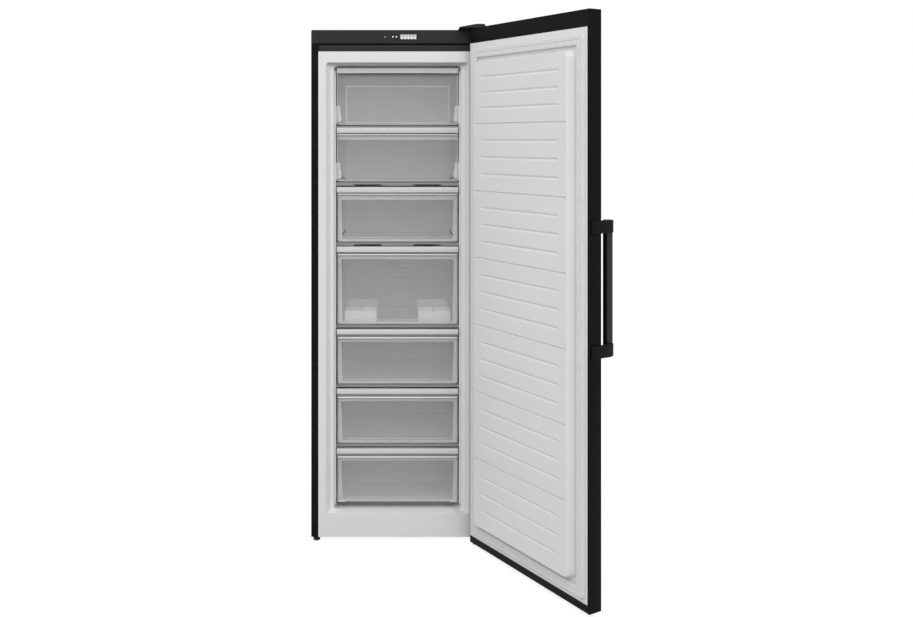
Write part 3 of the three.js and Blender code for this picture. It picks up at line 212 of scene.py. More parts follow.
class Value:
    """A socket that takes part in Python arithmetic: each operator adds one Math node."""

    def __init__(self, paint, socket):
        self.paint, self.socket = paint, socket

    def maths(self, operation, *terms):
        node = self.paint.node("ShaderNodeMath", {"operation": operation}, dict(enumerate(terms)))
        return Value(self.paint, node.outputs[0])

    def __add__(self, other):
        return self.maths("ADD", self, other)

    def __sub__(self, other):
        return self.maths("SUBTRACT", self, other)

    def __rsub__(self, other):
        return self.maths("SUBTRACT", other, self)

    def __mul__(self, other):
        return self.maths("MULTIPLY", self, other)

    __radd__, __rmul__ = __add__, __mul__

    def above(self, limit):
        return self.maths("GREATER_THAN", self, limit)

    def wave(self):
        return self.maths("SINE", self)

    def ramp(self, low, high):
        """0 under low, 1 over high and straight between them."""
        inputs = {0: self, 1: low, 2: high, 3: 0.0, 4: 1.0}
        node = self.paint.node("ShaderNodeMapRange", {"clamp": True}, inputs)
        return Value(self.paint, node.outputs[0])


class Paint:
    """A material being mixed from nodes."""

    def __init__(self, name, tree=None):
        if tree is None:
            self.material = bpy.data.materials.new(name + "_finish")
            self.material.use_nodes = True
            tree = self.material.node_tree
        self.tree = tree
        tree.nodes.clear()

    def node(self, kind, settings=None, inputs=None):
        """Adds a node, sets its settings, then fills or links its sockets by name or number."""
        node = self.tree.nodes.new(kind)
        for key, value in (settings or {}).items():
            setattr(node, key, value)
        for key, value in (inputs or {}).items():
            if isinstance(value, Value):
                value = value.socket
            if isinstance(value, bpy.types.NodeSocket):
                self.tree.links.new(value, node.inputs[key])
            else:
                node.inputs[key].default_value = value
        return node

    def place(self, stretch=(1, 1, 1)):
        """The object's own coordinates, stretched along each axis."""
        coordinates = self.node("ShaderNodeTexCoord").outputs["Object"]
        if stretch == (1, 1, 1):
            return coordinates
        inputs = {"Vector": coordinates, "Scale": stretch}
        return self.node("ShaderNodeMapping", None, inputs).outputs[0]

    def noise(self, scale, detail=2.0, roughness=0.5, stretch=(1, 1, 1)):
        """Cloudy noise from 0 to 1; scale is in cycles per metre."""
        inputs = {
            "Vector": self.place(stretch), "Scale": scale, "Detail": detail, "Roughness": roughness,
        }
        return Value(self, self.node("ShaderNodeTexNoise", None, inputs).outputs[0])

    def cells(self, scale, output=0):
        """Cell noise: the distance to the nearest seed, or (output 1) a grey for each cell."""
        inputs = {"Vector": self.place(), "Scale": scale}
        return Value(self, self.node("ShaderNodeTexVoronoi", {"feature": "F1"}, inputs).outputs[output])

    def pattern(self, kind, *settings):
        """Noise or cells, by name."""
        return {"noise": self.noise, "cells": self.cells}[kind](*settings)

    def axis(self, index):
        """One of the object's own coordinates in metres."""
        return Value(self, self.node("ShaderNodeSeparateXYZ", None, {0: self.place()}).outputs[index])

    def share(self):
        """How high a point lies on its piece, from 0 at the bottom to 1 at the top."""
        settings = {"attribute_name": HEIGHT_SHARE}
        return Value(self, self.node("ShaderNodeAttribute", settings).outputs["Fac"])

    def tint(self, factor, first, second):
        """A colour between two, by a factor."""
        inputs = {0: factor, 6: rgba(first), 7: rgba(second)}
        return self.node("ShaderNodeMix", {"data_type": "RGBA"}, inputs).outputs[2]

    def between(self, factor, base, low, high):
        """A colour between two strengths of one, by a factor."""
        return self.tint(factor, shade(base, low), shade(base, high))

    def bump(self, height, distance):
        """A normal from a height of 0 to 1 that stands for a distance in metres."""
        inputs = {"Strength": 1.0, "Distance": distance, "Height": height}
        return self.node("ShaderNodeBump", None, inputs).outputs[0]

    def coated(self, **inputs):
        """Ends the material in one Principled shader; words stand for its sockets' names."""
        named = {
            key.replace("_", " ").title().replace("Ior", "IOR"): value
            for key, value in inputs.items()
        }
        shader = self.node("ShaderNodeBsdfPrincipled", None, named)
        self.node("ShaderNodeOutputMaterial", None, {"Surface": shader.outputs[0]})
        return self.material


def rgba(value):
    """A colour with its fourth number; sockets are passed through."""
    if isinstance(value, (bpy.types.NodeSocket, Value)) or len(value) == 4:
        return value
    return (*value, 1.0)


def shade(value, factor):
    """A colour made lighter or darker."""
    return tuple(min(part * factor, 1.0) for part in value)


# ---------------------------------------------------------------- finishes

BRUSHED, ROLLED = ("noise", 900, 2, 0.5, (1, 1, 0.02)), ("noise", 500, 3, 0.6, (1, 1, 0.03))
HANDLE_LINES, FLOW_LINES = ("noise", 700, 2, 0.5, (1, 1, 0.02)), ("noise", 60, 3, 0.5, (0.06, 1, 1))
WEAVE, BLOOM = ("noise", 1500, 2), ("noise", 45, 4)

# Each finish has its colour, the pattern that varies it, its darkest and lightest strength, its
# roughness with how much each pattern adds to it, its relief in metres with the relief's
# pattern, and other sockets. A pattern is a kind and its settings.
FINISHES = {
    # satin black paint on sheet steel: soft orange peel and a faint cloudiness
    "black_steel": ("black_paint", ("noise", 6, 3), (0.75, 1.3), (0.36, (0.12, "noise", 14, 4)),
                    (0.00006, "noise", 900, 2), {"specular_ior_level": 0.06}),
    # smoother satin paint of the handle's bar, with faint lines drawn along it
    "handle_paint": ("black_paint", HANDLE_LINES, (1.2, 2.0), (0.32, (0.1, *HANDLE_LINES)),
                     (0.00002, *HANDLE_LINES), {"specular_ior_level": 0.32}),
    # matt black that hardly shines, for the piece in the groove under the fascia: painted shade
    "groove_tape": ("black_paint", WEAVE, (0.3, 0.5), (0.9, (0.05, *WEAVE)),
                    (0.0001, *WEAVE), {"specular_ior_level": 0.0}),
    # black moulding with a leathery grain of tiny cells
    "black_plastic": ("black_moulding", ("noise", 9, 3), (0.8, 1.25), (0.42, (0.14, "noise", 30, 3)),
                      (0.00005, "cells", 1400), {"specular_ior_level": 0.25}),
    # pale grey moulding of the pull strips, with faint flow lines along it
    "strip_plastic": ("strip_grey", FLOW_LINES, (0.96, 1.04), (0.28, (0.14, *FLOW_LINES)),
                      (0.00003, "noise", 800, 2), {"specular_ior_level": 0.45}),
    # grey moulding of the shelves
    "shelf_plastic": ("shelf_grey", ("noise", 12, 3), (0.93, 1.06), (0.24, (0.16, "noise", 40, 3)),
                      (0.00004, "noise", 600, 2), {"specular_ior_level": 0.45}),
    # near-black finish: painted shade on the rims of the drawer fronts and under the strips, and the colour of the
    # small hooks
    "clear_edge": ("edge_grey", ("noise", 40, 2), (0.8, 1.4), (0.25, (0.1, "noise", 90, 2)),
                   None, {"specular_ior_level": 0.3}),
    # milky moulding of the ice trays
    "tray_plastic": ("tray_white", ("noise", 25, 3), (0.95, 1.02), (0.25, (0.1, "noise", 120, 2)),
                     (0.00004, "noise", 500, 2), {"subsurface_weight": 0.15, "subsurface_scale": 0.004}),
    # soft pale rubber with a powdery bloom
    "seal_rubber": ("seal_white", BLOOM, (0.9, 1.05), (0.55, (0.2, *BLOOM)),
                    (0.00004, "noise", 1200, 2), {"specular_ior_level": 0.25}),
    # zinc-coated sheet: spangles of different greys with a faint rolled grain
    "zinc_steel": ("zinc", ("cells", 70, 1), (0.8, 1.15), (0.34, (0.12, *ROLLED), (0.08, "noise", 9, 3)),
                   (0.00002, *ROLLED), {"metallic": 0.85}),
    # bare aluminium with drawn lines and a dull oxide
    "bare_aluminium": ("aluminium", ("noise", 30, 3), (0.85, 1.1), (0.32, (0.16, *BRUSHED)),
                       (0.00002, *BRUSHED), {"metallic": 0.95}),
    # rigid foam: closed cells with a yellowed skin
    "pale_foam": ("foam", ("noise", 18, 4), (0.8, 1.1), (0.9, (0.08, "noise", 60, 2)),
                  (0.0004, "cells", 900), {"specular_ior_level": 0.15}),
    # smoked window of the display, much darker than its segments
    "display_plastic": ("display", ("noise", 90, 2), (0.198, 0.242), (0.12, (0.08, "noise", 60, 2)),
                        None, {"specular_ior_level": 0.4}),
}


def plain_finish(name, base, cloud, strengths, rough, relief, more):
    """A finish mixed from its row of the table."""
    paint = Paint(name)
    roughness, *additions = rough
    for share, *pattern in additions:
        roughness = share * paint.pattern(*pattern) + roughness
    sockets = dict(more, roughness=roughness)
    if relief:
        depth, *pattern = relief
        sockets["normal"] = paint.bump(paint.pattern(*pattern), depth)
    tone = paint.between(paint.pattern(*cloud), getattr(colours(), base), *strengths)
    return paint.coated(base_color=tone, **sockets)


def white_plastic():
    """Vacuum-formed white lining: a gentle waviness and a dull gloss. Over the mouth's slopes light
    and shade are painted: painted light at the left and the sill, painted shade at the top."""
    paint = Paint("white_plastic")
    base = colours().white_moulding
    wavy = paint.noise(5, 2)
    depth, top = paint.axis(1), box("flap_strip_1")[1, 2]
    # mask of the mouth's slopes, where the painted light and the painted shade go
    mouth = depth.ramp(FRONT, FRONT + 0.003) * (1 - depth.ramp(FRONT + 0.040, FRONT + 0.052))
    over = paint.axis(2).ramp(top + 0.002, top + 0.012)
    left = 1 - paint.axis(0).ramp(MIDDLE + 0.19, MIDDLE + 0.21)
    tone = paint.between(wavy, base, 0.975, 1.02)
    # painted light: the left slope and the sill drawn lighter
    tone = paint.tint(mouth * (1 - over) * left, tone, shade(base, 1.22))
    return paint.coated(
        # painted shade: the slope under the top drawn darker
        base_color=paint.tint(mouth * over, tone, shade(base, 0.72)),
        roughness=0.30 + 0.12 * paint.noise(20, 3),
        normal=paint.bump(wavy + 0.03 * paint.noise(700, 2), 0.0006),
        specular_ior_level=0.4,
    )


def clear_moulding(name, base, cover, denser=0.0):
    """Clear grey moulding that lets the inside show through, with fine handling marks. Cover is how
    much each of its faces hides, and the last argument is how much more it hides at its lower edge.
    Towards the lower edge its colour is lighter and its cover thicker: painted light there, and
    painted shade at the top."""
    paint = Paint(name)
    flow = paint.noise(7, 3, 0.5, (0.5, 0.5, 1))
    marks = paint.noise(350, 4, 0.6, (1, 1, 0.15))
    # 1 at the lower edge, 0 at the top: drives the painted light below and the painted shade above
    depth = 1 - paint.share()
    return paint.coated(
        base_color=paint.between(depth + 0.4 * flow, base, 0.92, 1.06),
        roughness=0.12 + 0.16 * marks,
        alpha=cover + 0.03 * flow + denser * depth,
        normal=paint.bump(paint.noise(16, 2), 0.0003),
        specular_ior_level=0.4,
    )


def clear_plastic():
    """Clear fronts of the flaps and drawers."""
    # the 0.07 of extra cover at the lower edge is painted light
    return clear_moulding("clear_plastic", colours().clear_grey, 0.20, 0.07)


def clear_tub():
    """Clear tubs of the drawers, thinner and clearer than their fronts."""
    return clear_moulding("clear_tub", colours().clear_grey, 0.09)


def clear_frame():
    """Milky frames behind the clear fronts."""
    return clear_moulding("clear_frame", colours().frame_grey, 0.60)


def board_green():
    """Circuit board: green lacquer over paler copper tracks."""
    paint = Paint("board_green")
    base = colours().board
    tracks = (paint.axis(2) * 900).wave().above(0.55) * paint.noise(120, 1).above(0.5)
    return paint.coated(
        base_color=paint.tint(tracks, base, shade(base, 2.2)),
        roughness=0.3 + 0.15 * paint.noise(200, 2),
        normal=paint.bump(tracks, 0.00005),
    )


def lamp_segment():
    """Segment of the display, a soft grey that is a little lighter at its lower end."""
    paint = Paint("lamp_segment")
    base = colours().display
    bottom, top = box("display_window")[:, 2]
    return paint.coated(
        base_color=paint.tint(1 - paint.axis(2).ramp(bottom, top), base, shade(base, 1.35)),
        roughness=0.3 + 0.05 * paint.noise(300, 2),
        specular_ior_level=0.3,
    )


def lamp_dot():
    """Small lit dot."""
    paint = Paint("lamp_dot")
    glow = paint.noise(500, 1).ramp(0.2, 0.8)
    return paint.coated(
        base_color=(0.9, 0.9, 0.9, 1),
        roughness=0.4,
        emission_color=paint.tint(glow, (0.85, 0.87, 0.9), (1, 1, 1)),
        emission_strength=0.7,
    )


RECIPES = {
    recipe.__name__: recipe
    for recipe in (
        white_plastic, clear_plastic, clear_tub, clear_frame, board_green, lamp_segment, lamp_dot,
    )
}


@cache
def finish(name):
    """The named finish, mixed the first time it is asked for."""
    return plain_finish(name, *FINISHES[name]) if name in FINISHES else RECIPES[name]()


# ---------------------------------------------------------------- surfaces


def round_loop(low, high, radii):
    """A rectangle's outline with an arc at each corner, anticlockwise from the upper right.
    Each arc's point is its centre plus the radius times the angle's cosine and sine."""
    parts = []
    corners = ((1, 1), (0, 1), (0, 0), (1, 0))
    for turn, (corner, radius) in enumerate(zip(corners, np.broadcast_to(np.asarray(radii, float), 4))):
        angle = QUARTER + turn * math.pi / 2
        centre = np.where(corner, high, low) + np.where(corner, -radius, radius)
        parts.append(centre + radius * np.stack([np.cos(angle), np.sin(angle)], axis=-1))
    return np.concatenate(parts)


def arc(centre, radius, start, end, steps=ARC_STEPS):
    """Points of an arc between two angles in degrees."""
    angle = np.radians(np.linspace(start, end, steps + 1))
    return np.array(centre) + radius * np.stack([np.cos(angle), np.sin(angle)], axis=-1)


def lifted(outline, axis, height):
    """A flat outline put into space: its two numbers go to the other two axes, in order."""
    outline = np.asarray(outline, float)
    heights = np.broadcast_to(np.asarray(height, float), outline.shape[:-1])
    return np.insert(outline, axis, heights, axis=-1)


def ring(low, high, radii, depth):
    """A rectangle's outline with round corners, in the plane of x and z at a depth."""
    return lifted(round_loop(low, high, radii), 1, depth)


def graded(*stops):
    """Numbers between stops: each pair is (place, steps up to it)."""
    places = [np.array([stops[0][0]], float)]
    for (start, _), (end, steps) in zip(stops, stops[1:]):
        places.append(np.linspace(start, end, steps + 1)[1:])
    return np.concatenate(places)


class Surface:
    """Gathers the patches of one piece as points in metres and faces as rows of indices."""

    def __init__(self):
        self.points, self.faces, self.count = [], [], 0

    def patch(self, points, faces):
        points = np.asarray(points, float).reshape(-1, 3)
        self.points.append(points)
        self.faces += [(np.asarray(face) + self.count).tolist() for face in faces]
        self.count += len(points)
        return self

    def join(self, other):
        """Adds another surface's patches."""
        return self.patch(np.concatenate(other.points), other.faces)

    def grid(self, points, closed=False, ends=False):
        """A grid of points with a face in each cell. A closed grid joins its last column to its
        first; ends puts a flat face over the first and the last row."""
        points = np.asarray(points, float)
        rows, columns = points.shape[:2]
        index = np.arange(rows * columns).reshape(rows, columns)
        if closed:
            index = np.concatenate([index, index[:, :1]], axis=1)
        cells = [index[:-1, :-1], index[:-1, 1:], index[1:, 1:], index[1:, :-1]]
        faces = list(np.stack(cells, axis=-1).reshape(-1, 4))
        if ends:
            faces += [index[0, :columns][::-1], index[-1, :columns]]
        return self.patch(points, faces)

    def slab(self, low, high, axis=2, corner=0.0, edge=0.0, steps=3):
        """A plate with rounded corners seen along an axis, and a quarter round along both faces'
        rims. Its rings shrink by edge x (1 - sin) while they rise by edge x (1 - cos)."""
        low, high = np.asarray(low, float), np.asarray(high, float)
        flat = [each for each in range(3) if each != axis]
        turn = np.linspace(0, math.pi / 2, steps + 1) if edge else np.array([math.pi / 2])
        inset, rise = edge * (1 - np.sin(turn)), edge * (1 - np.cos(turn))
        rings = []
        for step, height in [*zip(inset, low[axis] + rise), *zip(inset[::-1], high[axis] - rise[::-1])]:
            radius = np.maximum(np.asarray(corner, float) - step, 1e-5)
            rings.append(lifted(round_loop(low[flat] + step, high[flat] - step, radius), axis, height))
        return self.grid(rings, closed=True, ends=True)

    def prism(self, outline, axis, start, end):
        """A flat outline carried straight along an axis, with both ends closed."""
        rings = [lifted(outline, axis, start), lifted(outline, axis, end)]
        return self.grid(rings, closed=True, ends=True)

    def turned(self, profile, centre, axis=2, sides=ROUND_SIDES):
        """A profile of (radius, height) turned about an axis through a centre."""
        profile = np.asarray(profile, float)
        angle = np.linspace(0, 2 * math.pi, sides, endpoint=False)
        flat = profile[:, None, :1] * np.stack([np.cos(angle), np.sin(angle)], axis=-1)[None]
        rings = np.insert(flat, axis, np.broadcast_to(profile[:, 1:], flat.shape[:2]), axis=-1)
        return self.grid(rings + np.asarray(centre, float), closed=True)

    def tube(self, path, radius, sides=10):
        """A circle carried along a path. Its plane is square to the path, and its first direction
        is as close as can be to one that never lies along the path."""
        path = np.asarray(path, float)
        along = np.gradient(path, axis=0)
        along /= np.linalg.norm(along, axis=1, keepdims=True)
        side = np.cross(along, np.eye(3)[int(np.abs(along).max(axis=0).argmin())])
        side /= np.linalg.norm(side, axis=1, keepdims=True)
        lift = np.cross(side, along)
        angle = np.linspace(0, 2 * math.pi, sides, endpoint=False)[None, :, None]
        rings = path[:, None] + radius * (np.cos(angle) * side[:, None] + np.sin(angle) * lift[:, None])
        return self.grid(rings, closed=True, ends=True)

    def moved(self, carry):
        """The same patches with every point passed through a function."""
        self.points = [carry(points) for points in self.points]
        return self

    def mirrored(self):
        """Adds the mirror image on the other side of the cabinet's middle."""
        points, faces = np.concatenate(self.points), [face[::-1] for face in self.faces]
        return self.patch(points * [-1, 1, 1] + [2 * MIDDLE, 0, 0], faces)


def linked(name, data):
    """A new object of this data in the scene."""
    made = bpy.data.objects.new(name, data)
    bpy.context.scene.collection.objects.link(made)
    return made


def piece(name, surface, body, slot, stands_for=(), bevel=0.0, wall=0.0, material=None, closed=True):
    """Makes the object of a surface, merges its seams, turns its faces outwards and dresses it."""
    mesh = bpy.data.meshes.new(name)
    mesh.from_pydata(np.concatenate(surface.points).tolist(), [], surface.faces)
    work = bmesh.new()
    work.from_mesh(mesh)
    bmesh.ops.remove_doubles(work, verts=work.verts, dist=WELD)
    bmesh.ops.dissolve_degenerate(work, edges=work.edges, dist=WELD)
    if closed:
        bmesh.ops.recalc_face_normals(work, faces=work.faces)
    for face in work.faces:
        face.smooth = True
    work.to_mesh(mesh)
    work.free()
    heights = places_of(mesh)[:, 2]
    shares = (heights - heights.min()) / max(np.ptp(heights), WELD)
    attribute = mesh.attributes.new(HEIGHT_SHARE, "FLOAT", "POINT")
    attribute.data.foreach_set("value", shares.astype(np.float32))
    mesh.set_sharp_from_angle(angle=SHARP)
    mesh.materials.append(finish(material or slot))
    made = linked(name, mesh)
    if wall:
        thick = made.modifiers.new("wall", "SOLIDIFY")
        thick.thickness, thick.offset = wall, -1
    if bevel:
        round_edge = made.modifiers.new("edges", "BEVEL")
        round_edge.width, round_edge.segments = bevel, 3
        round_edge.limit_method, round_edge.angle_limit = "ANGLE", SHARP
        round_edge.use_clamp_overlap = True
        round_edge.harden_normals = True
    else:
        made.modifiers.new("shading", "WEIGHTED_NORMAL").keep_sharp = True
    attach(made, body)
    if stands_for:
        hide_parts(*stands_for)


class Step:
    """What every operator of the panel shares."""

    bl_options = {"REGISTER", "UNDO"}

    def execute(self, context):
        self.make()
        return {"FINISHED"}


# ---------------------------------------------------------------- the stage


class FREEZER_OT_stage(Step, bpy.types.Operator):
    """Sets up the camera, the floor, the lamps and the surroundings"""

    bl_idname = "freezer.stage"
    bl_label = "Stage"

    camera_place = (0.2793, -3.362, 1.381)
    camera_lens = 38.33
    camera_shift = (0.0646, -0.1846)
    soft_level, zenith_level = 0.50, 0.36  # strength of the surroundings, and more from above
    floor_half, floor_glow = 14.0, 0.80
    lamps = {"left_lamp": (-2.8, -4.2, 4.4), "front_lamp": (1.6, -5.2, 5.0)}
    lamp_target, lamp_side, lamp_power = (0.4, -0.2, 0.9), 3.4, 115

    def make(self):
        self.camera()
        self.surroundings()
        self.floor()
        for name, place in self.lamps.items():
            self.lamp(name, place)

    def camera(self):
        data = bpy.data.cameras.new("camera")
        data.lens, data.sensor_width = self.camera_lens, 36
        data.shift_x, data.shift_y = self.camera_shift
        data.clip_end = 60
        camera = linked("camera", data)
        camera.location = self.camera_place
        camera.rotation_euler = (math.pi / 2, 0, 0)
        bpy.context.scene.camera = camera
        bpy.context.scene.view_settings.view_transform = "Standard"

    @staticmethod
    def seen_directly(paint):
        """1 for what the camera sees itself, in a gloss or through glass; 0 for lighting."""
        rays = paint.node("ShaderNodeLightPath").outputs
        names = ("Is Camera Ray", "Is Glossy Ray", "Is Transmission Ray")
        camera, glossy, through = (Value(paint, rays[name]) for name in names)
        return (camera + glossy + through).ramp(0, 1)

    def surroundings(self):
        """White where seen directly; as light, soft at the level and stronger towards the top."""
        world = bpy.data.worlds.new("surroundings")
        bpy.context.scene.world = world
        world.use_nodes = True
        paint = Paint("surroundings", world.node_tree)
        seen = self.seen_directly(paint)
        direction = paint.node("ShaderNodeTexCoord").outputs["Generated"]
        upward = Value(paint, paint.node("ShaderNodeSeparateXYZ", None, {0: direction}).outputs[2])
        soft = self.soft_level + self.zenith_level * upward.ramp(0, 1)
        inputs = {"Color": (1, 1, 1, 1), "Strength": soft + seen * (1 - soft)}
        light = paint.node("ShaderNodeBackground", None, inputs)
        paint.node("ShaderNodeOutputWorld", None, {"Surface": light.outputs[0]})

    def floor(self):
        """A pale floor; where it is seen directly a constant glow lifts it to white, so that
        only the object's shadow stays darker."""
        signs = ((-1, -1), (1, -1), (1, 1), (-1, 1))
        corners = [(MIDDLE + x * self.floor_half, y * self.floor_half, 0) for x, y in signs]
        mesh = bpy.data.meshes.new("floor")
        mesh.from_pydata(corners, [], [(0, 1, 2, 3)])
        paint = Paint("floor")
        plain, dim = (
            paint.node("ShaderNodeBsdfDiffuse", None, {
                "Color": paint.between(paint.noise(0.8, 2), colours().floor, low, high)
            }).outputs[0]
            for low, high in ((0.68, 0.72), (0.52, 0.55))
        )
        inputs = {"Color": (1, 1, 1, 1), "Strength": self.floor_glow}
        light = paint.node("ShaderNodeEmission", None, inputs).outputs[0]
        lit = paint.node("ShaderNodeAddShader", None, {0: dim, 1: light}).outputs[0]
        inputs = {0: self.seen_directly(paint), 1: plain, 2: lit}
        mixed = paint.node("ShaderNodeMixShader", None, inputs).outputs[0]
        paint.node("ShaderNodeOutputMaterial", None, {"Surface": mixed})
        mesh.materials.append(paint.material)
        floor = linked("floor", mesh)

    def lamp(self, name, place):
        data = bpy.data.lights.new(name, "AREA")
        data.shape, data.size, data.energy = "SQUARE", self.lamp_side, self.lamp_power
        lamp = linked(name, data)
        lamp.location = place
        away = Vector(place) - Vector(self.lamp_target)
        lamp.rotation_euler = away.to_track_quat("Z", "Y").to_euler()


# ---------------------------------------------------------------- cabinet


class FREEZER_OT_shell(Step, bpy.types.Operator):
    """Makes the black side sheets, the top and the bar over the mouth"""

    bl_idname = "freezer.shell"
    bl_label = "Cabinet shell"

    rear_flange = 0.012
    bar_play, bar_drop = np.array([0.0012, 0, 0]), np.array([0, 0, 0.0012])
    filler_depth, filler_low, filler_lap = 0.0017, 0.003, np.array([0.0015, 0, 0.002])

    def make(self):
        self.side_sheet(RIGHT, "side_panel_right")
        self.side_sheet(LEFT, "side_panel_left")
        top = Surface().slab(*box("top_panel"), corner=0.002, edge=0.0015)
        piece("top_sheet", top, "cabinet", "black_plastic", ("top_panel",))
        low, high = box("front_crossbar")
        bar_low, bar_high = low + self.bar_play, high - self.bar_play - self.bar_drop
        bar = Surface().slab(bar_low, bar_high, 1, corner=0.0006, edge=0.0004, steps=1)
        piece("crossbar", bar, "cabinet", "black_steel", ("front_crossbar",), material="black_plastic")
        # a matt black piece set in the groove under the fascia: painted shade that stands in for the groove's
        # shadow
        fascia = box("control_fascia")
        start = np.array([low[0], FRONT + self.filler_depth, low[2] + self.filler_low])
        end = np.array([high[0], fascia[1, 1], fascia[0, 2]])
        filler = Surface().slab(start - self.filler_lap, end + self.filler_lap, 1, MIN_RADIUS)
        piece("groove_filler", filler, "cabinet", "black_plastic", material="groove_tape")

    def side_sheet(self, side, node):
        """A bent sheet: its plan outline runs from the rear flange round two bends to the front
        flange and is carried upwards. Over the front flange only the part behind it goes on."""
        bend = sizes().sheet_bend
        low, high = box(node)
        outer = high[0] if side == RIGHT else low[0]
        notch_y, notch_z = box("top_panel")[0, 1], box("control_fascia")[0, 2] - GAP
        across, along = bend * (1 - np.sin(QUARTER)), bend * (1 - np.cos(QUARTER))
        rear = np.stack([outer - side * across, high[1] - along], axis=-1)
        front = np.stack([outer - side * across[::-1], low[1] + along[::-1]], axis=-1)
        outline = np.concatenate([
            [[outer - side * self.rear_flange, high[1]]], rear, [[outer, notch_y]], front,
            [[outer - side * (high[0] - low[0]), low[1]]],
        ])
        upper = outline[: len(rear) + 2]
        sheet = Surface()
        for part, levels in ((outline, (low[2], notch_z)), (upper, (notch_z, high[2]))):
            rows = np.array([lifted(part, 2, level) for level in levels])
            sheet.grid(rows[::-1] if side == RIGHT else rows)
        wall = sizes().sheet_thickness
        name = node.replace("panel", "sheet")
        piece(name, sheet, "cabinet", "black_steel", (node,), wall=wall, closed=False)


class FREEZER_OT_controls(Step, bpy.types.Operator):
    """Makes the fascia with its display, key and two indicator dots"""

    bl_idname = "freezer.controls"
    bl_label = "Controls"

    fascia_rise = 0.0008  # how much higher its lower edge is than the solid's
    fascia_corner, fascia_edge = np.array([0.005, 0.005, 0.0008, 0.0008]), 0.0016
    segments, margin, between = 5, 0.0012, 0.0011
    glass_back, dot_height, dot_sides = 0.0006, 0.0048, 16
    # each dot's (radius, depth) profile
    segment_dot = [(0, -0.0003), (0.0012, -0.0003), (0.0016, 0), (0, 0.0002)]
    key_dot = [(0, -0.00015), (0.0011, -0.00015), (0.0013, 0.0003), (0, 0.0003)]
    indicator = [(0, -0.0003), (0.0019, -0.0003), (0.0023, 0.0003), (0, 0.0005)]
    indicator_places = (0.0248, 0.0127)  # from the display's left end

    def make(self):
        low, high = box("control_fascia")
        low[2] += self.fascia_rise
        window = box("display_window")
        edge, turn, rings = self.fascia_edge, np.linspace(0, math.pi / 2, 4), []
        rounded = zip(edge * (1 - np.cos(turn)), low[1] + edge * (1 - np.sin(turn)))
        for inset, depth in [(0, high[1]), *rounded]:
            radii = np.maximum(self.fascia_corner - inset, MIN_RADIUS)
            rings.append(ring(low[XZ] + inset, high[XZ] - inset, radii, depth))
        for depth in (low[1], window[1, 1] + GAP):
            rings.append(ring(window[0, XZ] - GAP, window[1, XZ] + GAP, 0.0012, depth))
        fascia = Surface().grid(rings, closed=True, ends=True)
        piece("fascia", fascia, "cabinet", "black_plastic", ("control_fascia",))
        self.display(*window)
        self.key()
        dots = Surface()
        for offset in self.indicator_places:
            place = (window[0, 0] - offset, window[0, 1], window[:, 2].mean())
            dots.turned(self.indicator, place, 1, self.dot_sides)
        piece("indicator_dots", dots, "cabinet", "display_plastic", material="lamp_dot")

    def display(self, low, high):
        """A glass with a row of segments in front of it and a dot on each segment."""
        glass = Surface().slab(low + [0, self.glass_back, 0], high, 1, corner=0.001, edge=0.0003)
        piece("display_glass", glass, "cabinet", "display_plastic", ("display_window",))
        room = high[0] - low[0] - 2 * self.margin - (self.segments - 1) * self.between
        width = room / self.segments
        tiles, dots = Surface(), Surface()
        for index in range(self.segments):
            left = low[0] + self.margin + index * (width + self.between)
            end = (left + width, low[1] + 0.0012, high[2] - self.margin)
            tiles.slab((left, low[1], low[2] + self.margin), end, 1, corner=0.0012, edge=0.0003)
            place = (left + width / 2, low[1] + 0.0001, low[2] + self.dot_height)
            dots.turned(self.segment_dot, place, 1, self.dot_sides)
        piece("display_segments", tiles, "cabinet", "display_plastic", material="lamp_segment")
        piece("display_dots", dots, "cabinet", "display_plastic", material="lamp_dot")

    def key(self):
        """A turned key with a dished face and a collar behind the fascia, and its mark."""
        low, high = box("set_key")
        x, _, z = (low + high) / 2
        front, rear, collar = low[1], high[1], 0.0015
        full = (high[2] - low[2]) / 2
        radius = full - collar
        profile = [
            (0, front + 0.0004), (radius * 0.55, front + 0.0003), (radius * 0.75, front),
            (radius - 0.0004, front), (radius, front + 0.0005), (radius, rear - 0.0012),
            (full, rear - 0.0012), (full, rear), (0, rear),
        ]
        key = Surface().turned(profile, (x, 0, z), 1)
        piece("key", key, "key", "black_plastic", ("set_key",))
        mark = Surface().turned(self.key_dot, (x, front + 0.0004, z), 1, self.dot_sides)
        piece("key_mark", mark, "key", "display_plastic", material="lamp_dot")


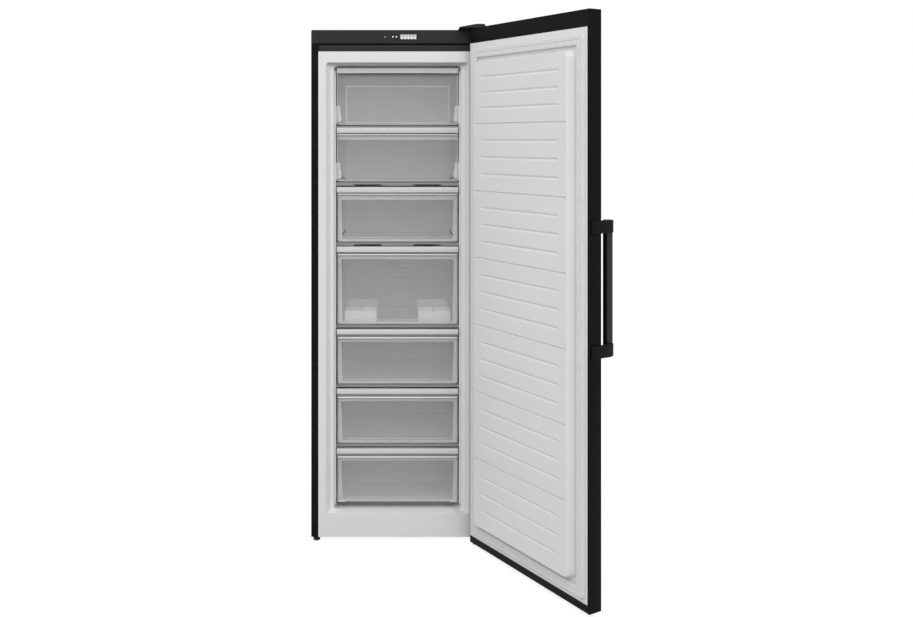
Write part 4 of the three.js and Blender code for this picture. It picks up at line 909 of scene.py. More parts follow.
class FREEZER_OT_lining(Step, bpy.types.Operator):
    """Makes the white lining with its mouth, the step over the machine space and its fittings"""

    bl_idname = "freezer.lining"
    bl_label = "Lining"

    ceiling_gap, step_gap, turned_in = 0.0045, 0.006, 0.006
    rear_round = 0.02  # radius between the walls and the back
    ledge_wide, ledge_tall = 0.007, 0.006
    bead, bead_start, bead_deep = 0.0048, 0.0448, 0.012

    def make(self):
        values = sizes()
        low, high = box("liner")
        shelf, cover, tub = box("shelf_1"), box("evaporator_cover"), box("drawer_tub_7")
        self.room_low = np.array([shelf[0, 0] - GAP, tub[0, 2] - GAP])
        self.room_high = np.array([shelf[1, 0] + GAP, box("flap_strip_1")[1, 2] + self.ceiling_gap])
        mouth_low = np.array([low[0] + values.side_band, low[2] + values.apron])
        mouth_high = np.array([high[0] - values.side_band, high[2] - values.top_band])
        back, step_top, step_front = cover[1, 1] + GAP, cover[0, 2] - GAP, tub[1, 1] + self.step_gap
        rings = [ring(low[XZ], high[XZ], 0.001, low[1])]
        for part in graded((0, 0), (0.4, 5), (0.66, 9), (1, 4)):
            shares = np.array([self.narrowing(part), part])
            start = mouth_low + (self.room_low - mouth_low) * shares
            end = mouth_high + (self.room_high - mouth_high) * shares
            radius = values.mouth_corner + (values.room_corner - values.mouth_corner) * part
            rings.append(ring(start, end, radius, low[1] + values.mouth_depth * part))
        for depth in (low[1] + values.mouth_depth + self.turned_in, step_front):
            rings.append(ring(self.room_low, self.room_high, values.room_corner, depth))
        lining = Surface().grid(rings, closed=True)
        upper_low = np.array([self.room_low[0], step_top])
        radii = np.array([values.room_corner, values.room_corner, MIN_RADIUS, MIN_RADIUS])
        rear = self.rear_round
        deep = [ring(upper_low, self.room_high, radii, depth) for depth in (step_front, back - rear)]
        for angle in QUARTER[1:]:
            shrink = rear * (1 - math.cos(angle))
            inner = np.maximum(radii - shrink, MIN_RADIUS)
            start, depth = upper_low + [shrink, 0], back - rear * (1 - math.sin(angle))
            deep.append(ring(start, self.room_high - shrink, inner, depth))
        lining.grid(deep, closed=True)
        lining.patch(deep[-1], [np.arange(len(deep[-1]))])
        xs = np.linspace(self.room_low[0], self.room_high[0], 9)
        zs = np.linspace(self.room_low[1], step_top, 5)
        lining.grid(np.stack(np.broadcast_arrays(xs[None], step_front, zs[:, None]), axis=-1))
        piece("lining", lining, "cabinet", "white_plastic", ("liner",), wall=values.lining, closed=False)
        self.fittings()

    @staticmethod
    def narrowing(part):
        """How far the mouth's sides have come in at a share of its depth: straight as far as the
        shut door's raised part reaches, then a quarter of a sine wave."""
        reach, done, share = 0.4, 0.66, 0.48
        if part <= reach:
            return share * part / reach
        turn = min((part - reach) / (done - reach), 1) * math.pi / 2
        return share + (1 - share) * math.sin(turn)

    def fittings(self):
        """Shelf ledges, the flaps' pivot brackets and a bead down the front of both side walls."""
        corner = sizes().room_corner
        fittings = Surface()
        wall = self.room_high[0]
        sunk = wall + 0.001
        rear = box("evaporator_cover")[0, 1] - 0.01
        for number in range(1, 7):
            low, high = box(f"shelf_{number}")
            top = high[2] - FREEZER_OT_shelves.plate - GAP
            start = (wall - self.ledge_wide, low[1] + 0.01, top - self.ledge_tall)
            fittings.slab(start, (sunk, rear, top), 1, corner=0.0015, edge=0.001)
        for number in (1, 2):
            _, y, z = flap_pivot(number)
            inner = box(f"flap_strip_{number}")[1, 0] + 0.0001
            start, end = (inner, y - 0.007, z - 0.008), (sunk, y + 0.007, z + 0.054)
            fittings.slab(start, end, 1, corner=0.003, edge=0.0012)
            start, end = (inner + 0.001, y - 0.0085, z + 0.030), (sunk, y - 0.004, z + 0.050)
            fittings.slab(start, end, 1, corner=0.002, edge=0.001)
        front = FRONT + self.bead_start
        start = (wall - self.bead, front, self.room_low[1] + corner)
        end = (sunk, front + self.bead_deep, self.room_high[1] - corner)
        fittings.slab(start, end, 1, corner=(0.001, 0.002, 0.002, 0.001), edge=0.002)
        piece("lining_fittings", fittings.mirrored(), "cabinet", "white_plastic")


class FREEZER_OT_shelves(Step, bpy.types.Operator):
    """Makes the grey shelves with their front trims"""

    bl_idname = "freezer.shelves"
    bl_label = "Shelves"

    plate = 0.005
    trim_depth = 0.006
    trim_drop = 0.0015  # how much lower the trims of the lower shelves reach
    slot_length, slot_spacing, slot_height = 0.096, 0.208, 0.005
    slotted = (2, 3)

    def make(self):
        for number in range(1, 7):
            node = f"shelf_{number}"
            low, high = box(node)
            plate_low = (low[0], low[1] + self.trim_depth, high[2] - self.plate)
            shelf = Surface().slab(plate_low, high, corner=0.002, edge=0.0008)
            shelf.prism(self.trim(number, low, high), 1, low[1], low[1] + self.trim_depth)
            self.ribs(shelf, low, high)
            piece(f"shelf_plate_{number}", shelf, "cabinet", "shelf_plastic", (node,), bevel=0.0006)

    def trim(self, number, low, high):
        """The trim's outline seen from the front: a bar, with two notches in its lower edge on
        the slotted shelves."""
        bottom = low[2] - (self.trim_drop if number > 3 else 0.0)
        points = [(high[0], bottom), (high[0], high[2]), (low[0], high[2]), (low[0], bottom)]
        if number in self.slotted:
            roof = bottom + self.slot_height
            for side in (LEFT, RIGHT):
                middle = MIDDLE + side * self.slot_spacing / 2
                left, right = middle - self.slot_length / 2, middle + self.slot_length / 2
                points += [(left, bottom), (left, roof), (right, roof), (right, bottom)]
        return points

    def ribs(self, shelf, low, high):
        """Low stiffening ribs under the plate, front to back."""
        under, half = high[2] - self.plate, 0.001
        for place in np.linspace(low[0] + 0.05, high[0] - 0.05, 7):
            start = (place - half, low[1] + 0.02, under - 0.0028)
            shelf.slab(start, (place + half, high[1] - 0.02, under + 0.0005), corner=0.0008)


# ---------------------------------------------------------------- flaps and drawers

FRONT_WALL = 0.003  # thickness of a clear front
BAND = np.array([0.0034, 0.0054])  # front and rear of what lies behind a clear front
EDGE_SET_IN = 0.0026  # how far it stays inside the front's rim


def strip_profile(low, high):
    """The pull strip's section in (y, z): a rounded lip in front, a top, and a hook behind."""
    wall, outer, rear, lip = sizes().strip_wall, sizes().lip_round, 0.003, 0.0012
    y0, z0, y1, z1 = low[1], low[2], high[1], high[2]
    hook, blunt = z1 - sizes().strip_hook, 0.0009
    front, back = (y0 + outer, z1 - outer), (y1 - rear, z1 - rear)
    return np.concatenate([
        [(y0, z0 + lip)], arc(front, outer, 180, 90), arc(back, rear, 90, 0), [(y1, hook)],
        [(y1 - wall, hook)], arc(back, rear - wall, 0, 90, 2), arc(front, outer - wall, 90, 180),
        [(y0 + wall, z0 + lip), (y0 + wall - blunt, z0), (y0 + blunt, z0)],
    ])


def pull_strip(node, body, name, shorter):
    """The strip's section carried across the front, with a wall in each end. Its lip can end
    higher up than the solid's."""
    low, high = box(node)
    low[2] += shorter
    wall, end_wall = sizes().strip_wall, 0.003
    strip = Surface().prism(strip_profile(low, high), 0, low[0], high[0])
    for x in (low[0], high[0] - end_wall):
        start = (x, low[1] + 0.0004, low[2] + 0.002)
        end = (x + end_wall, high[1] - wall, high[2] - wall)
        strip.slab(start, end, 0, corner=0.002, edge=0.0006)
    piece(name, strip, body, "strip_plastic", (node,), bevel=0.0010)


def front_radii():
    """Radii of a clear front's corners: small at the top, where the strip covers them."""
    return np.array([0.002, 0.002, sizes().front_corner, sizes().front_corner])


def front_box(node, strip):
    """The corners of a clear front itself, without the ears or the tub behind it."""
    low, _ = box(node)
    strip_low, strip_high = box(strip)
    inset, y = 0.0005, flap_pivot(1)[1] - 0.008
    top = strip_high[2] - sizes().strip_wall - GAP
    return np.array([strip_low[0] + inset, y, low[2]]), np.array([strip_high[0] - inset, y, top])


def clear_front(low, high, border):
    """A clear front: rings that shrink from its outline over a raised border to its flat middle."""
    y, width, blunt = low[1], sizes().front_border, 0.0008
    rise = sizes().border_rise if border else 0.0
    stations = [(0.0, y + FRONT_WALL), (0.0, y + blunt - rise), (blunt, y - rise)]
    if border:
        stations += [(width - 0.002, y - rise), (width, y)]
    return Surface().grid([
        ring(low[XZ] + inset, high[XZ] - inset, np.maximum(front_radii() - inset, 0.001), depth)
        for inset, depth in stations
    ], closed=True, ends=True)


def dark_edge(low, high):
    """A thin frame round a clear front's rim; on the drawers it is painted shade of the gap round it."""
    width, proud = 0.0022, 0.0003
    y0, y1 = low[1] - proud, low[1] + FRONT_WALL + proud
    inner = np.maximum(front_radii() - width, 0.0006)
    rings = [
        ring(low[XZ] + inset, high[XZ] - inset, inner if inset else front_radii(), y)
        for inset, y in ((0, y0), (0, y1), (width, y1), (width, y0), (0, y0))
    ]
    return Surface().grid(rings, closed=True)


def frame_band(low, high, outer, inner, lean=0.0):
    """A flat band behind a clear front, between two outlines that are set in from the front's
    by (side, bottom, top). Its inner outline narrows downwards: x shrinks towards the middle by
    the lean times the share of the height that is left."""
    loops = [
        round_loop(low[XZ] + [side, bottom], high[XZ] - [side, top], 0.006)
        for side, bottom, top in (outer, inner)
    ]
    x, z = loops[1].T
    loops[1][:, 0] -= np.sign(x - MIDDLE) * lean * (z.max() - z) / np.ptp(z)
    y0, y1 = low[1] + BAND
    corners = ((0, y0), (0, y1), (1, y1), (1, y0), (0, y0))
    return Surface().grid([lifted(loops[which], 1, y) for which, y in corners], closed=True)


def under_strip(number, low, high, strip_low, body):
    """What shows right under a strip: a dark line under its middle on the upper flap and the upper
    drawer, painted shade of the finger space, and a white rim right across on all but the upper
    flap, a painted highlight on the front's lip."""
    y, half, tall, side, proud = low[1], 0.147, 0.0045, 0.0024, 0.0016
    # painted shade: a dark slab that stands in for the shadow of the finger space
    if number in (1, 3):
        start = (MIDDLE - half, y - proud, strip_low - proud)
        line = Surface().slab(start, (MIDDLE + half, y, strip_low + 0.0004), 1, MIN_RADIUS)
        piece(f"finger_line_{number}", line, body, "clear_plastic", material="clear_edge")
    # painted highlight: an opaque white rim that stands in for light caught on the clear lip
    if number in RIM_DROPS:
        top = strip_low - RIM_DROPS[number]
        start, end = (low[0] + side, y - 0.0060, top - tall), (high[0] - side, y + 0.001, top)
        rim = Surface().slab(start, end, 1, corner=0.0012, edge=0.0009)
        piece(f"rim_line_{number}", rim, body, "clear_plastic", material="tray_plastic")


def hooks(number, low, body):
    """A small dark hook at both lower corners of a clear front: a thin bar between two points."""
    half = 0.0006
    start, end = low[XZ] + HOOKS[number]
    along = (end - start) / np.linalg.norm(end - start)
    across = np.array([-along[1], along[0]]) * 0.0013
    outline = [start - across, end - across, end + across, start + across]
    bars = Surface().prism(outline, 1, low[1] - half, low[1] + half).mirrored()
    piece(f"hooks_{number}", bars, body, "clear_plastic", material="clear_edge")


class Fronts(Step):
    """What the flaps and the drawers share: a clear front with its edge, a milky frame behind
    it, what shows under its strip, and the strip."""

    def make(self):
        kind = self.kind
        for number in self.numbers:
            body, node = f"{kind}_{number}", f"{kind}_{self.part}_{number}"
            strip = f"{kind}_strip_{number}"
            low, high = front_box(node, strip)
            low[2] = self.bottom(number, low)
            strip_low = box(strip)[0, 2]
            front = self.front(number, low, high)
            piece(f"{kind}_front_{number}", front, body, "clear_plastic", (node,))
            edge = dark_edge(low, high)
            piece(f"{kind}_edge_{number}", edge, body, "clear_plastic", material=self.edge_finish)
            milky = self.frame(number, low, high, strip_low)
            piece(f"{kind}_frame_{number}", milky, body, "clear_plastic", material="clear_frame")
            under_strip(number, low, high, strip_low, body)
            if number in HOOKS:
                hooks(number, low, body)
            self.behind(number, low)
            pull_strip(strip, body, f"{kind}_pull_{number}", self.shorter.get(number, 0.0))

    def bottom(self, number, low):
        """Height of the front's lower edge."""
        return low[2]

    def behind(self, number, low):
        """What else hangs behind the front."""


class FREEZER_OT_flaps(Fronts, bpy.types.Operator):
    """Makes the two fold-down flaps with their pull strips and pivots"""

    bl_idname = "freezer.flaps"
    bl_label = "Flaps"

    kind, part, numbers, edge_finish, shorter = "flap", "panel", (1, 2), "clear_frame", {}
    # an ear's outline as x and z from its lower outer corner
    ear_outline = np.array([
        (0, 0), (0.010, 0), (0.0125, 0.004), (0.0125, 0.024), (0.009, 0.031), (0.009, 0.052),
        (0.006, 0.056), (0, 0.056),
    ])
    ear_place, ear_proud, ear_sunk = (0.0024, 0.010), 0.0022, 0.0004
    # a pin's radius and its distance along x
    pin = [(0, -0.0035), (0.006, -0.0035), (0.006, -0.0005), (0.003, -0.0005), (0.003, 0.0085),
           (0.0025, 0.009), (0, 0.009)]

    def frame(self, number, low, high, strip_low):
        """Fine lines on the upper flap and a plain band on the lower one, both with an ear near
        each lower corner: an upright strip, wider in its lower half."""
        top, line = high[2] - strip_low + 0.043, 0.0025
        if number == 1:
            side, bottom = 0.030, 0.006
            milky = frame_band(low, high, (side, bottom, top), (side + line, bottom + line, top + line))
        else:
            start = low[0] + EDGE_SET_IN, low[1] + BAND[0], strip_low - 0.024
            end = (high[0] - EDGE_SET_IN, low[1] + BAND[1], high[2] - 0.002)
            milky = Surface().slab(start, end, 1, corner=0.002)
        ear = self.ear_outline + low[XZ] + self.ear_place
        ears = Surface().prism(ear, 1, low[1] - self.ear_proud, low[1] + self.ear_sunk)
        return milky.join(ears.mirrored())

    def front(self, number, low, high):
        """A clear front with a block and a pin at each lower corner."""
        _, y, z = flap_pivot(number)
        outer = high[0] - 0.004
        rounds = Surface().turned(self.pin, (outer, y, z), 0, sides=24)
        start = (outer - 0.003, low[1] + 0.0015, z - 0.006)
        rounds.slab(start, (outer, y, z + 0.006), 0, corner=0.001, edge=0.0004)
        return clear_front(low, high, border=False).join(rounds.mirrored())


class FREEZER_OT_drawers(Fronts, bpy.types.Operator):
    """Makes the five drawers: a clear tub, a clear front and a pull strip each"""

    bl_idname = "freezer.drawers"
    bl_label = "Drawers"

    # the drawers' rims take the near-black finish: painted shade of the gap round each front
    kind, part, numbers, edge_finish = "drawer", "tub", range(3, 8), "clear_edge"
    shorter = dict.fromkeys((5, 6, 7), 0.0024)  # how much higher these strips end
    lean = 0.005  # how far a frame's sides lean in at the bottom
    lowest = 7
    lowest_bottom, over_shelf = 0.101, 0.001
    skid_wide, skid_tall, skid_proud = 0.026, 0.009, 0.0024
    line_inset, line_depths, line_heights = 0.030, (0.0056, 0.0068), (0.014, 0.0165)

    def bottom(self, number, low):
        """A drawer's front ends a little over the shelf that carries it."""
        if number == self.lowest:
            return box("liner")[0, 2] + self.lowest_bottom
        return box(f"shelf_{number}")[1, 2] + self.over_shelf

    def front(self, number, low, high):
        return clear_front(low, high, border=True)

    def frame(self, number, low, high, strip_low):
        """A band that leans in downwards, a level line near its foot, and on the lowest drawer a
        small raised block at each lower corner."""
        top, edge = high[2] - strip_low + 0.026, EDGE_SET_IN
        milky = frame_band(low, high, (edge, edge, 0.002), (0.014, 0.010, top), self.lean)
        (y0, y1), (z0, z1) = self.line_depths, self.line_heights
        start = (low[0] + self.line_inset, low[1] + y0, low[2] + z0)
        end = (high[0] - self.line_inset, low[1] + y1, low[2] + z1)
        milky.slab(start, end, 1, corner=0.001, edge=0.0005)
        if number == self.lowest:
            for left in (low[0] + 0.0024, high[0] - 0.0024 - self.skid_wide):
                start = (left, low[1] - self.skid_proud, low[2] + 0.001)
                end = (left + self.skid_wide, low[1] + 0.0004, low[2] + self.skid_tall)
                milky.slab(start, end, 1, corner=0.0015, edge=0.0006)
        return milky

    def behind(self, number, low):
        """A trough whose section, two walls on a floor with round corners, runs from the front
        to the back wall."""
        wall, corner = sizes().tub_wall, sizes().tub_corner
        tub_low, tub_high = box(f"drawer_tub_{number}")
        strip_low, strip_high = box(f"drawer_strip_{number}")
        half = (strip_high[0] - strip_low[0]) / 2 - 0.0005 - 0.007
        x0, x1 = MIDDLE - half, MIDDLE + half
        bottom, top, rear = tub_low[2], strip_low[2] - 0.030, tub_high[1]
        left, right = (x0 + corner, bottom + corner), (x1 - corner, bottom + corner)
        outside = np.concatenate([
            [(x0, top)], arc(left, corner, 180, 270), arc(right, corner, 270, 360), [(x1, top)],
        ])
        inner = corner - wall
        inside = np.concatenate([
            [(x1 - wall, top)], arc(right, inner, 360, 270), arc(left, inner, 270, 180),
            [(x0 + wall, top)],
        ])
        tub = Surface().prism(np.concatenate([outside, inside]), 1, low[1] + 0.0072, rear - wall)
        tub.prism(outside, 1, rear - wall, rear)
        name, body = f"drawer_trough_{number}", f"drawer_{number}"
        piece(name, tub, body, "clear_plastic", bevel=0.0006, material="clear_tub")


class FREEZER_OT_ice_trays(Step, bpy.types.Operator):
    """Makes the two ice trays in the tall drawer"""

    bl_idname = "freezer.ice_trays"
    bl_label = "Ice trays"

    columns, rows, cell_steps = 2, 6, 10
    basin, cell_depth, rim, blend = 0.008, 0.022, 0.0027, 0.002

    def make(self):
        for side in ("left", "right"):
            node = f"ice_tray_{side}"
            piece(f"ice_cells_{side}", self.tray(*box(node)), "drawer_4", "tray_plastic", (node,))

    def side(self, size, cells):
        """Places along one side; where each lies within the rim from 0 to 1; and a wave with a
        half period in each cell."""
        rim, blend = self.rim, self.blend
        places = graded(
            (0, 0), (rim, 2), (rim + blend, 2), (size - rim - blend, self.cell_steps * cells),
            (size - rim, 2), (size, 2),
        )
        inside = np.minimum(1, np.minimum(places, size - places) / rim - 1).clip(0)
        wave = np.sin(math.pi * cells * np.clip((places - rim) / (size - 2 * rim), 0, 1))
        return places, inside, wave

    def tray(self, low, high):
        """A tray whose top is a height over a grid: the rim's height less a basin and, in each
        cell, a depth times the fourth root of a product of two sines. Its skirt goes straight
        down from the rim, and its floor is flat."""
        u, inside_u, wave_u = self.side(high[0] - low[0], self.columns)
        v, inside_v, wave_v = self.side(high[1] - low[1], self.rows)
        basin = np.where(inside_u[None] * inside_v[:, None] > 0, self.basin, 0)
        drop = basin + self.cell_depth * np.abs(wave_u[None] * wave_v[:, None]) ** 0.25
        xs, ys = np.broadcast_arrays(low[0] + u[None], low[1] + v[:, None])
        cells = np.stack([xs, ys, high[2] - drop], axis=-1)
        tray = Surface().grid(cells)
        rim_loop = np.concatenate([cells[0], cells[1:, -1], cells[-1, -2::-1], cells[-2:0:-1, 0]])[:, :2]
        skirt = [lifted(rim_loop, 2, level) for level in (low[2], high[2])]
        tray.grid(skirt, closed=True)
        return tray.patch(skirt[0], [np.arange(len(rim_loop))[::-1]])


# ---------------------------------------------------------------- door


class FREEZER_OT_door(Step, bpy.types.Operator):
    """Makes the door's skin, its end caps and its white lining with the grooves"""

    bl_idname = "freezer.door"
    bl_label = "Door"

    sections, top_section = 7, 0.204
    grooves, groove_height, groove_depth, short_inset = 3, 0.012, 0.0030, 0.030
    line_height, line_depth = 0.0060, 0.0036
    tick_height, tick_inset, tick_end = 0.016, 0.004, 0.004
    side_inset, side_slope = 0.051, 0.015
    bottom_inset, top_inset, end_slope = 0.078, 0.1115, 0.010
    fade_length = 0.014  # over which a short groove runs out
    lining_wall = 0.0025
    crown_height = 0.02  # grooves are only cut where the lining stands out this far
    skin_bend, skin_fold, fold_proud = 0.004, 0.0075, 0.0004
    cap_plate = 0.0025

    def make(self):
        self.skin()
        self.caps()
        self.lining()
        self.filling()

    def foot(self):
        """The raised part's foot: its lowest and highest corner in x and z."""
        skin = closed_box("door_skin")
        low = skin[0, XZ] + [self.side_inset, self.bottom_inset]
        return low, skin[1, XZ] - [self.side_inset, self.top_inset]

    def filling(self):
        """Foam: a plate that fills the door and a block with round corners behind the plateau."""
        low, high = closed_box("door_foam")
        wall, play = 0.004, 0.0005
        face = closed_box("door_skin")[1, 1] - wall
        foam = Surface().slab(low + play, (high[0] - play, face, high[2] - play), 1, wall)
        start, end = self.foot()
        slopes, rings = np.array([self.side_slope, self.end_slope]), []
        for share, depth in ((0.35, face - 0.001), (0.35, face + wall), (1.2, high[1] - wall)):
            inset = slopes * share + wall
            rings.append(ring(start + inset, end - inset, sizes().plateau_corner, depth))
        foam.grid(rings, closed=True, ends=True).moved(opened)
        piece("door_filling", foam, "door", "pale_foam", ("door_foam",))

    def skin(self):
        """The outer sheet: a plan outline with two bends carried upwards. On the handle's side it
        is folded over the lining's rim."""
        low, high = closed_box("door_skin")
        bend, rim = self.skin_bend, high[1] + self.fold_proud
        outline = np.concatenate([
            [(low[0] + self.skin_fold, rim), (low[0], rim)],
            arc((low[0] + bend, low[1] + bend), bend, 180, 270),
            arc((high[0] - bend, low[1] + bend), bend, 270, 360), [(high[0], high[1])],
        ])
        skin = Surface().grid([lifted(outline, 2, level) for level in (low[2], high[2])]).moved(opened)
        wall = sizes().sheet_thickness
        piece("door_sheet", skin, "door", "black_steel", ("door_skin",), wall=wall, closed=False)

    def caps(self):
        """Each end cap is a level plate and an upright one at its rear."""
        for end in ("top", "bottom"):
            node = f"door_{end}_cap"
            low, high = closed_box(node)
            plate_low, plate_high, apron_low = low.copy(), high.copy(), low.copy()
            if end == "top":
                plate_low[2] = high[2] - self.cap_plate
            else:
                plate_high[2] = low[2] + self.cap_plate
            apron_low[1] = high[1] - self.cap_plate
            cap = Surface().slab(plate_low, plate_high, corner=0.001, edge=0.0006)
            cap.slab(apron_low, high, 1, corner=0.0012, edge=0.0008).moved(opened)
            piece(f"door_cap_{end}", cap, "door", "black_plastic", (node,), material="black_steel")

    def stations(self, low, high, foot, slope, breaks):
        """Places along one side of the lining, close together on the plateau's slopes."""
        corner = sizes().plateau_corner
        start, end = foot
        places = graded(
            (low, 0), (start, 3), (start + slope, 6), (start + corner + slope, 6),
            (end - slope - corner, 13), (end - slope, 6), (end, 6), (high, 3),
        )
        return np.unique(np.round(np.concatenate([places, *breaks]), 6))

    def lining(self):
        """A height over the lining's plane. The plateau rises by a smooth step of the distance
        inside its foot, a rectangle with round corners, over the slope's width; each groove
        takes away a depth times a smooth bump of the distance from its middle line. A long
        groove turns down at its outer end into a short tick."""
        low, high = closed_box("door_liner")
        face = closed_box("door_skin")[1, 1]
        foot_low, foot_high = self.foot()
        marks = self.groove_marks(foot_low[1] + self.end_slope, foot_high[1] - self.end_slope)
        long_lines = [middle for middle, _, _, inset in marks if not inset]
        shape = np.array([-1.2, -1, -0.75, -0.45, 0, 0.45, 0.75, 1, 1.2]) / 2
        half_crown = foot_high[0] - self.side_slope - MIDDLE
        steps = np.linspace(-self.fade_length, 0, 6)
        ends = [MIDDLE + side * (half_crown - self.short_inset + steps) for side in (LEFT, RIGHT)]
        tick = foot_high[0] - self.side_slope - self.tick_inset
        ends.append(tick + shape * self.line_height)
        levels = [middle + shape * height for middle, height, *_ in marks]
        levels += [middle - self.tick_height + np.array([0, self.tick_end]) for middle in long_lines]
        xs = self.stations(low[0], high[0], (foot_low[0], foot_high[0]), self.side_slope, ends)
        zs = self.stations(low[2], high[2], (foot_low[1], foot_high[1]), self.end_slope, levels)
        x, z = np.meshgrid(xs, zs)
        height = sizes().plateau_rise * self.smooth(self.inside(x, z, foot_low, foot_high))
        crown_part = height > self.crown_height
        for middle, tall, deep, inset in marks:
            past = np.abs(x - MIDDLE) - half_crown + (inset or self.tick_inset)
            fade = 1 - self.smooth(past / self.fade_length + 1) if inset else past <= 0
            offset = np.abs(z - middle) / (tall / 2)
            height = height - deep * (1 - self.smooth(offset)) * fade * crown_part
        for middle in long_lines:
            offset = np.abs(x - tick) / (self.line_height / 2)
            within = self.smooth((z - middle + self.tick_height) / self.tick_end) * (z < middle)
            height = height - self.line_depth * (1 - self.smooth(offset)) * within
        front = np.stack([x, face + height, z], axis=-1)
        lining = Surface().grid(front[:, ::-1]).moved(opened)
        wall = self.lining_wall
        piece("door_lining", lining, "door", "white_plastic", ("door_liner",), wall=wall, closed=False)

    def groove_marks(self, bottom, top):
        """Place, height, depth and side inset of every groove, from the top down."""
        marks = []
        lower = (top - self.top_section - bottom) / (self.sections - 1)
        for section in range(self.sections):
            tall = lower if section else self.top_section
            for number in range(1, self.grooves + 1):
                place = top - number * tall / (self.grooves + 1)
                marks.append((place, self.groove_height, self.groove_depth, self.short_inset))
            top -= tall
            if section < self.sections - 1:
                marks.append((top, self.line_height, self.line_depth, 0.0))
        return marks

    def inside(self, x, z, low, high):
        """0 at the plateau's foot and 1 at its crown. The distance to the foot is measured in
        slope widths, which differ at the sides and at the ends."""
        corner = sizes().plateau_corner
        slope = np.array([self.side_slope, self.end_slope])
        centre, half = (low + high) / 2, (high - low) / 2
        away = np.abs(np.stack([x - centre[0], z - centre[1]], axis=-1))
        past = (away - (half - corner)) / corner
        weight = np.maximum(past, 0)
        share = weight[..., 0] ** 2 / np.maximum((weight**2).sum(axis=-1), 1e-9)
        width = share * slope[0] + (1 - share) * slope[1]
        straight = ((half - away) / slope).min(axis=-1)
        curved = (1 - np.linalg.norm(weight, axis=-1)) * corner / width
        return np.where((past > 0).all(axis=-1), curved, straight)

    @staticmethod
    def smooth(value):
        """0 under 0, 1 over 1, and a straight ramp with softened ends between."""
        value = np.clip(value, 0, 1)
        return value * value * (3 - 2 * value)


class FREEZER_OT_seal(Step, bpy.types.Operator):
    """Makes the door seal with its bellows"""

    bl_idname = "freezer.seal"
    bl_label = "Door seal"

    # inset in millimetres and share of the depth, round a magnet pocket and two folds
    section = [
        (0.0, 0.0), (0.0, 0.25), (1.5, 0.75), (3.0, 0.95), (4.5, 1.0), (14.0, 1.0), (14.8, 0.94),
        (15.6, 0.80), (16.8, 0.80), (17.6, 0.94), (18.5, 0.98), (28.5, 0.98), (30.4, 0.9),
        (31.6, 0.6), (32.0, 0.2), (32.0, 0.0), (0.0, 0.0),
    ]
    corner, least_corner, tightening = 0.012, 0.003, 0.28

    def make(self):
        """The section carried round a rounded rectangle: each of its points gives one ring,
        inset from the seal's outline and at its depth."""
        low, high = closed_box("door_gasket")
        rings = []
        for inset, part in np.array(self.section) * [MILLI, high[1] - low[1]]:
            radius = max(self.corner - inset * self.tightening, self.least_corner)
            rings.append(ring(low[XZ] + inset, high[XZ] - inset, radius, low[1] + part))
        seal = Surface().grid(rings, closed=True).moved(opened)
        piece("door_seal", seal, "door", "seal_rubber", ("door_gasket",))


class FREEZER_OT_handle(Step, bpy.types.Operator):
    """Makes the bar handle and the two brackets on the door's edge"""

    bl_idname = "freezer.handle"
    bl_label = "Handle"

    bar_back, bar_deeper = 0.002, 0.0065  # how far the bar's front and rear stand from the solid's
    bar_corners = (0.002, 0.008, 0.005, 0.003)
    plate, slant, pad_deep = 0.006, 0.018, 0.047

    def make(self):
        low, high = closed_box("handle_bar")
        low[1] += self.bar_back
        high[1] += self.bar_deeper
        bar = Surface().slab(low, high, corner=self.bar_corners, edge=0.0012).moved(opened)
        piece("handle_grip", bar, "door", "black_steel", ("handle_bar",), material="handle_paint")
        for end in ("top", "bottom"):
            self.bracket(f"handle_bracket_{end}", f"handle_mount_{end}", low)

    def bracket(self, node, name, bar_low):
        """A plan outline carried upwards: a plate on the door's edge and a pad that reaches over
        to the bar, with its outer corner cut off aslant."""
        low, high = closed_box(node)
        plate, pad, pad_rear = low[0] + self.plate, bar_low[0] - GAP, high[1] - self.pad_deep
        outer = bar_low[1] - 2 * GAP
        outline = [
            (low[0], high[1]), (plate, high[1]), (plate, pad_rear), (pad, pad_rear), (pad, outer),
            (low[0], outer + self.slant),
        ]
        bracket = Surface().prism(outline, 2, low[2], high[2]).moved(opened)
        piece(name, bracket, "door", "black_steel", (node,), bevel=0.0022)


class FREEZER_OT_hinges(Step, bpy.types.Operator):
    """Makes the cover over the top hinge and the bottom hinge's bracket"""

    bl_idname = "freezer.hinges"
    bl_label = "Hinges"

    crown_inset, thin_end, cover_round = 0.0293, 0.003, 0.006
    plate, upright, shoulder_radius, pin_radius = 0.003, 0.037, 0.008, 0.005

    def make(self):
        self.cover()
        self.lower()

    def cover(self):
        """A wedge: its outline seen from the front, with a slope up from a thin end, carried
        from front to back."""
        low, high = box("top_hinge_cover")
        curve = self.cover_round
        outline = np.concatenate([
            [(low[0], low[2]), (high[0], low[2]), (high[0], high[2] - 0.008)],
            arc(high[XZ] - curve, curve, 0, 90),
            [(high[0] - self.crown_inset, high[2]), (low[0], low[2] + self.thin_end)],
        ])
        cover = Surface().prism(outline, 1, low[1], high[1])
        piece("hinge_cover", cover, "cabinet", "black_plastic", ("top_hinge_cover",), bevel=0.0018)

    def lower(self):
        """A bent plate with a turned pin on a shoulder that carries the door."""
        low, high = box("bottom_hinge_bracket")
        rear, plate = FRONT - GAP, self.plate
        bracket = Surface().slab(low, (high[0], rear, low[2] + plate), corner=0.005, edge=0.0005)
        start, end = (low[0], rear - plate, low[2]), (high[0], rear, low[2] + self.upright)
        bracket.slab(start, end, 1, corner=0.004, edge=0.0005)
        tall, shoulder = high[2] - low[2], box("door_skin")[0, 2] - GAP - low[2]
        wide, pin = self.shoulder_radius, self.pin_radius
        profile = [
            (0, 0.0005), (wide, 0.0005), (wide, shoulder - 0.0006), (wide - 0.0006, shoulder),
            (pin, shoulder), (pin, tall - 0.001), (pin - 0.001, tall), (0, tall),
        ]
        bracket.turned(profile, (DOOR_AXIS[0], DOOR_AXIS[1], low[2]), sides=32)
        piece("hinge_foot", bracket, "cabinet", "black_steel", ("bottom_hinge_bracket",))


# ---------------------------------------------------------------- back and base


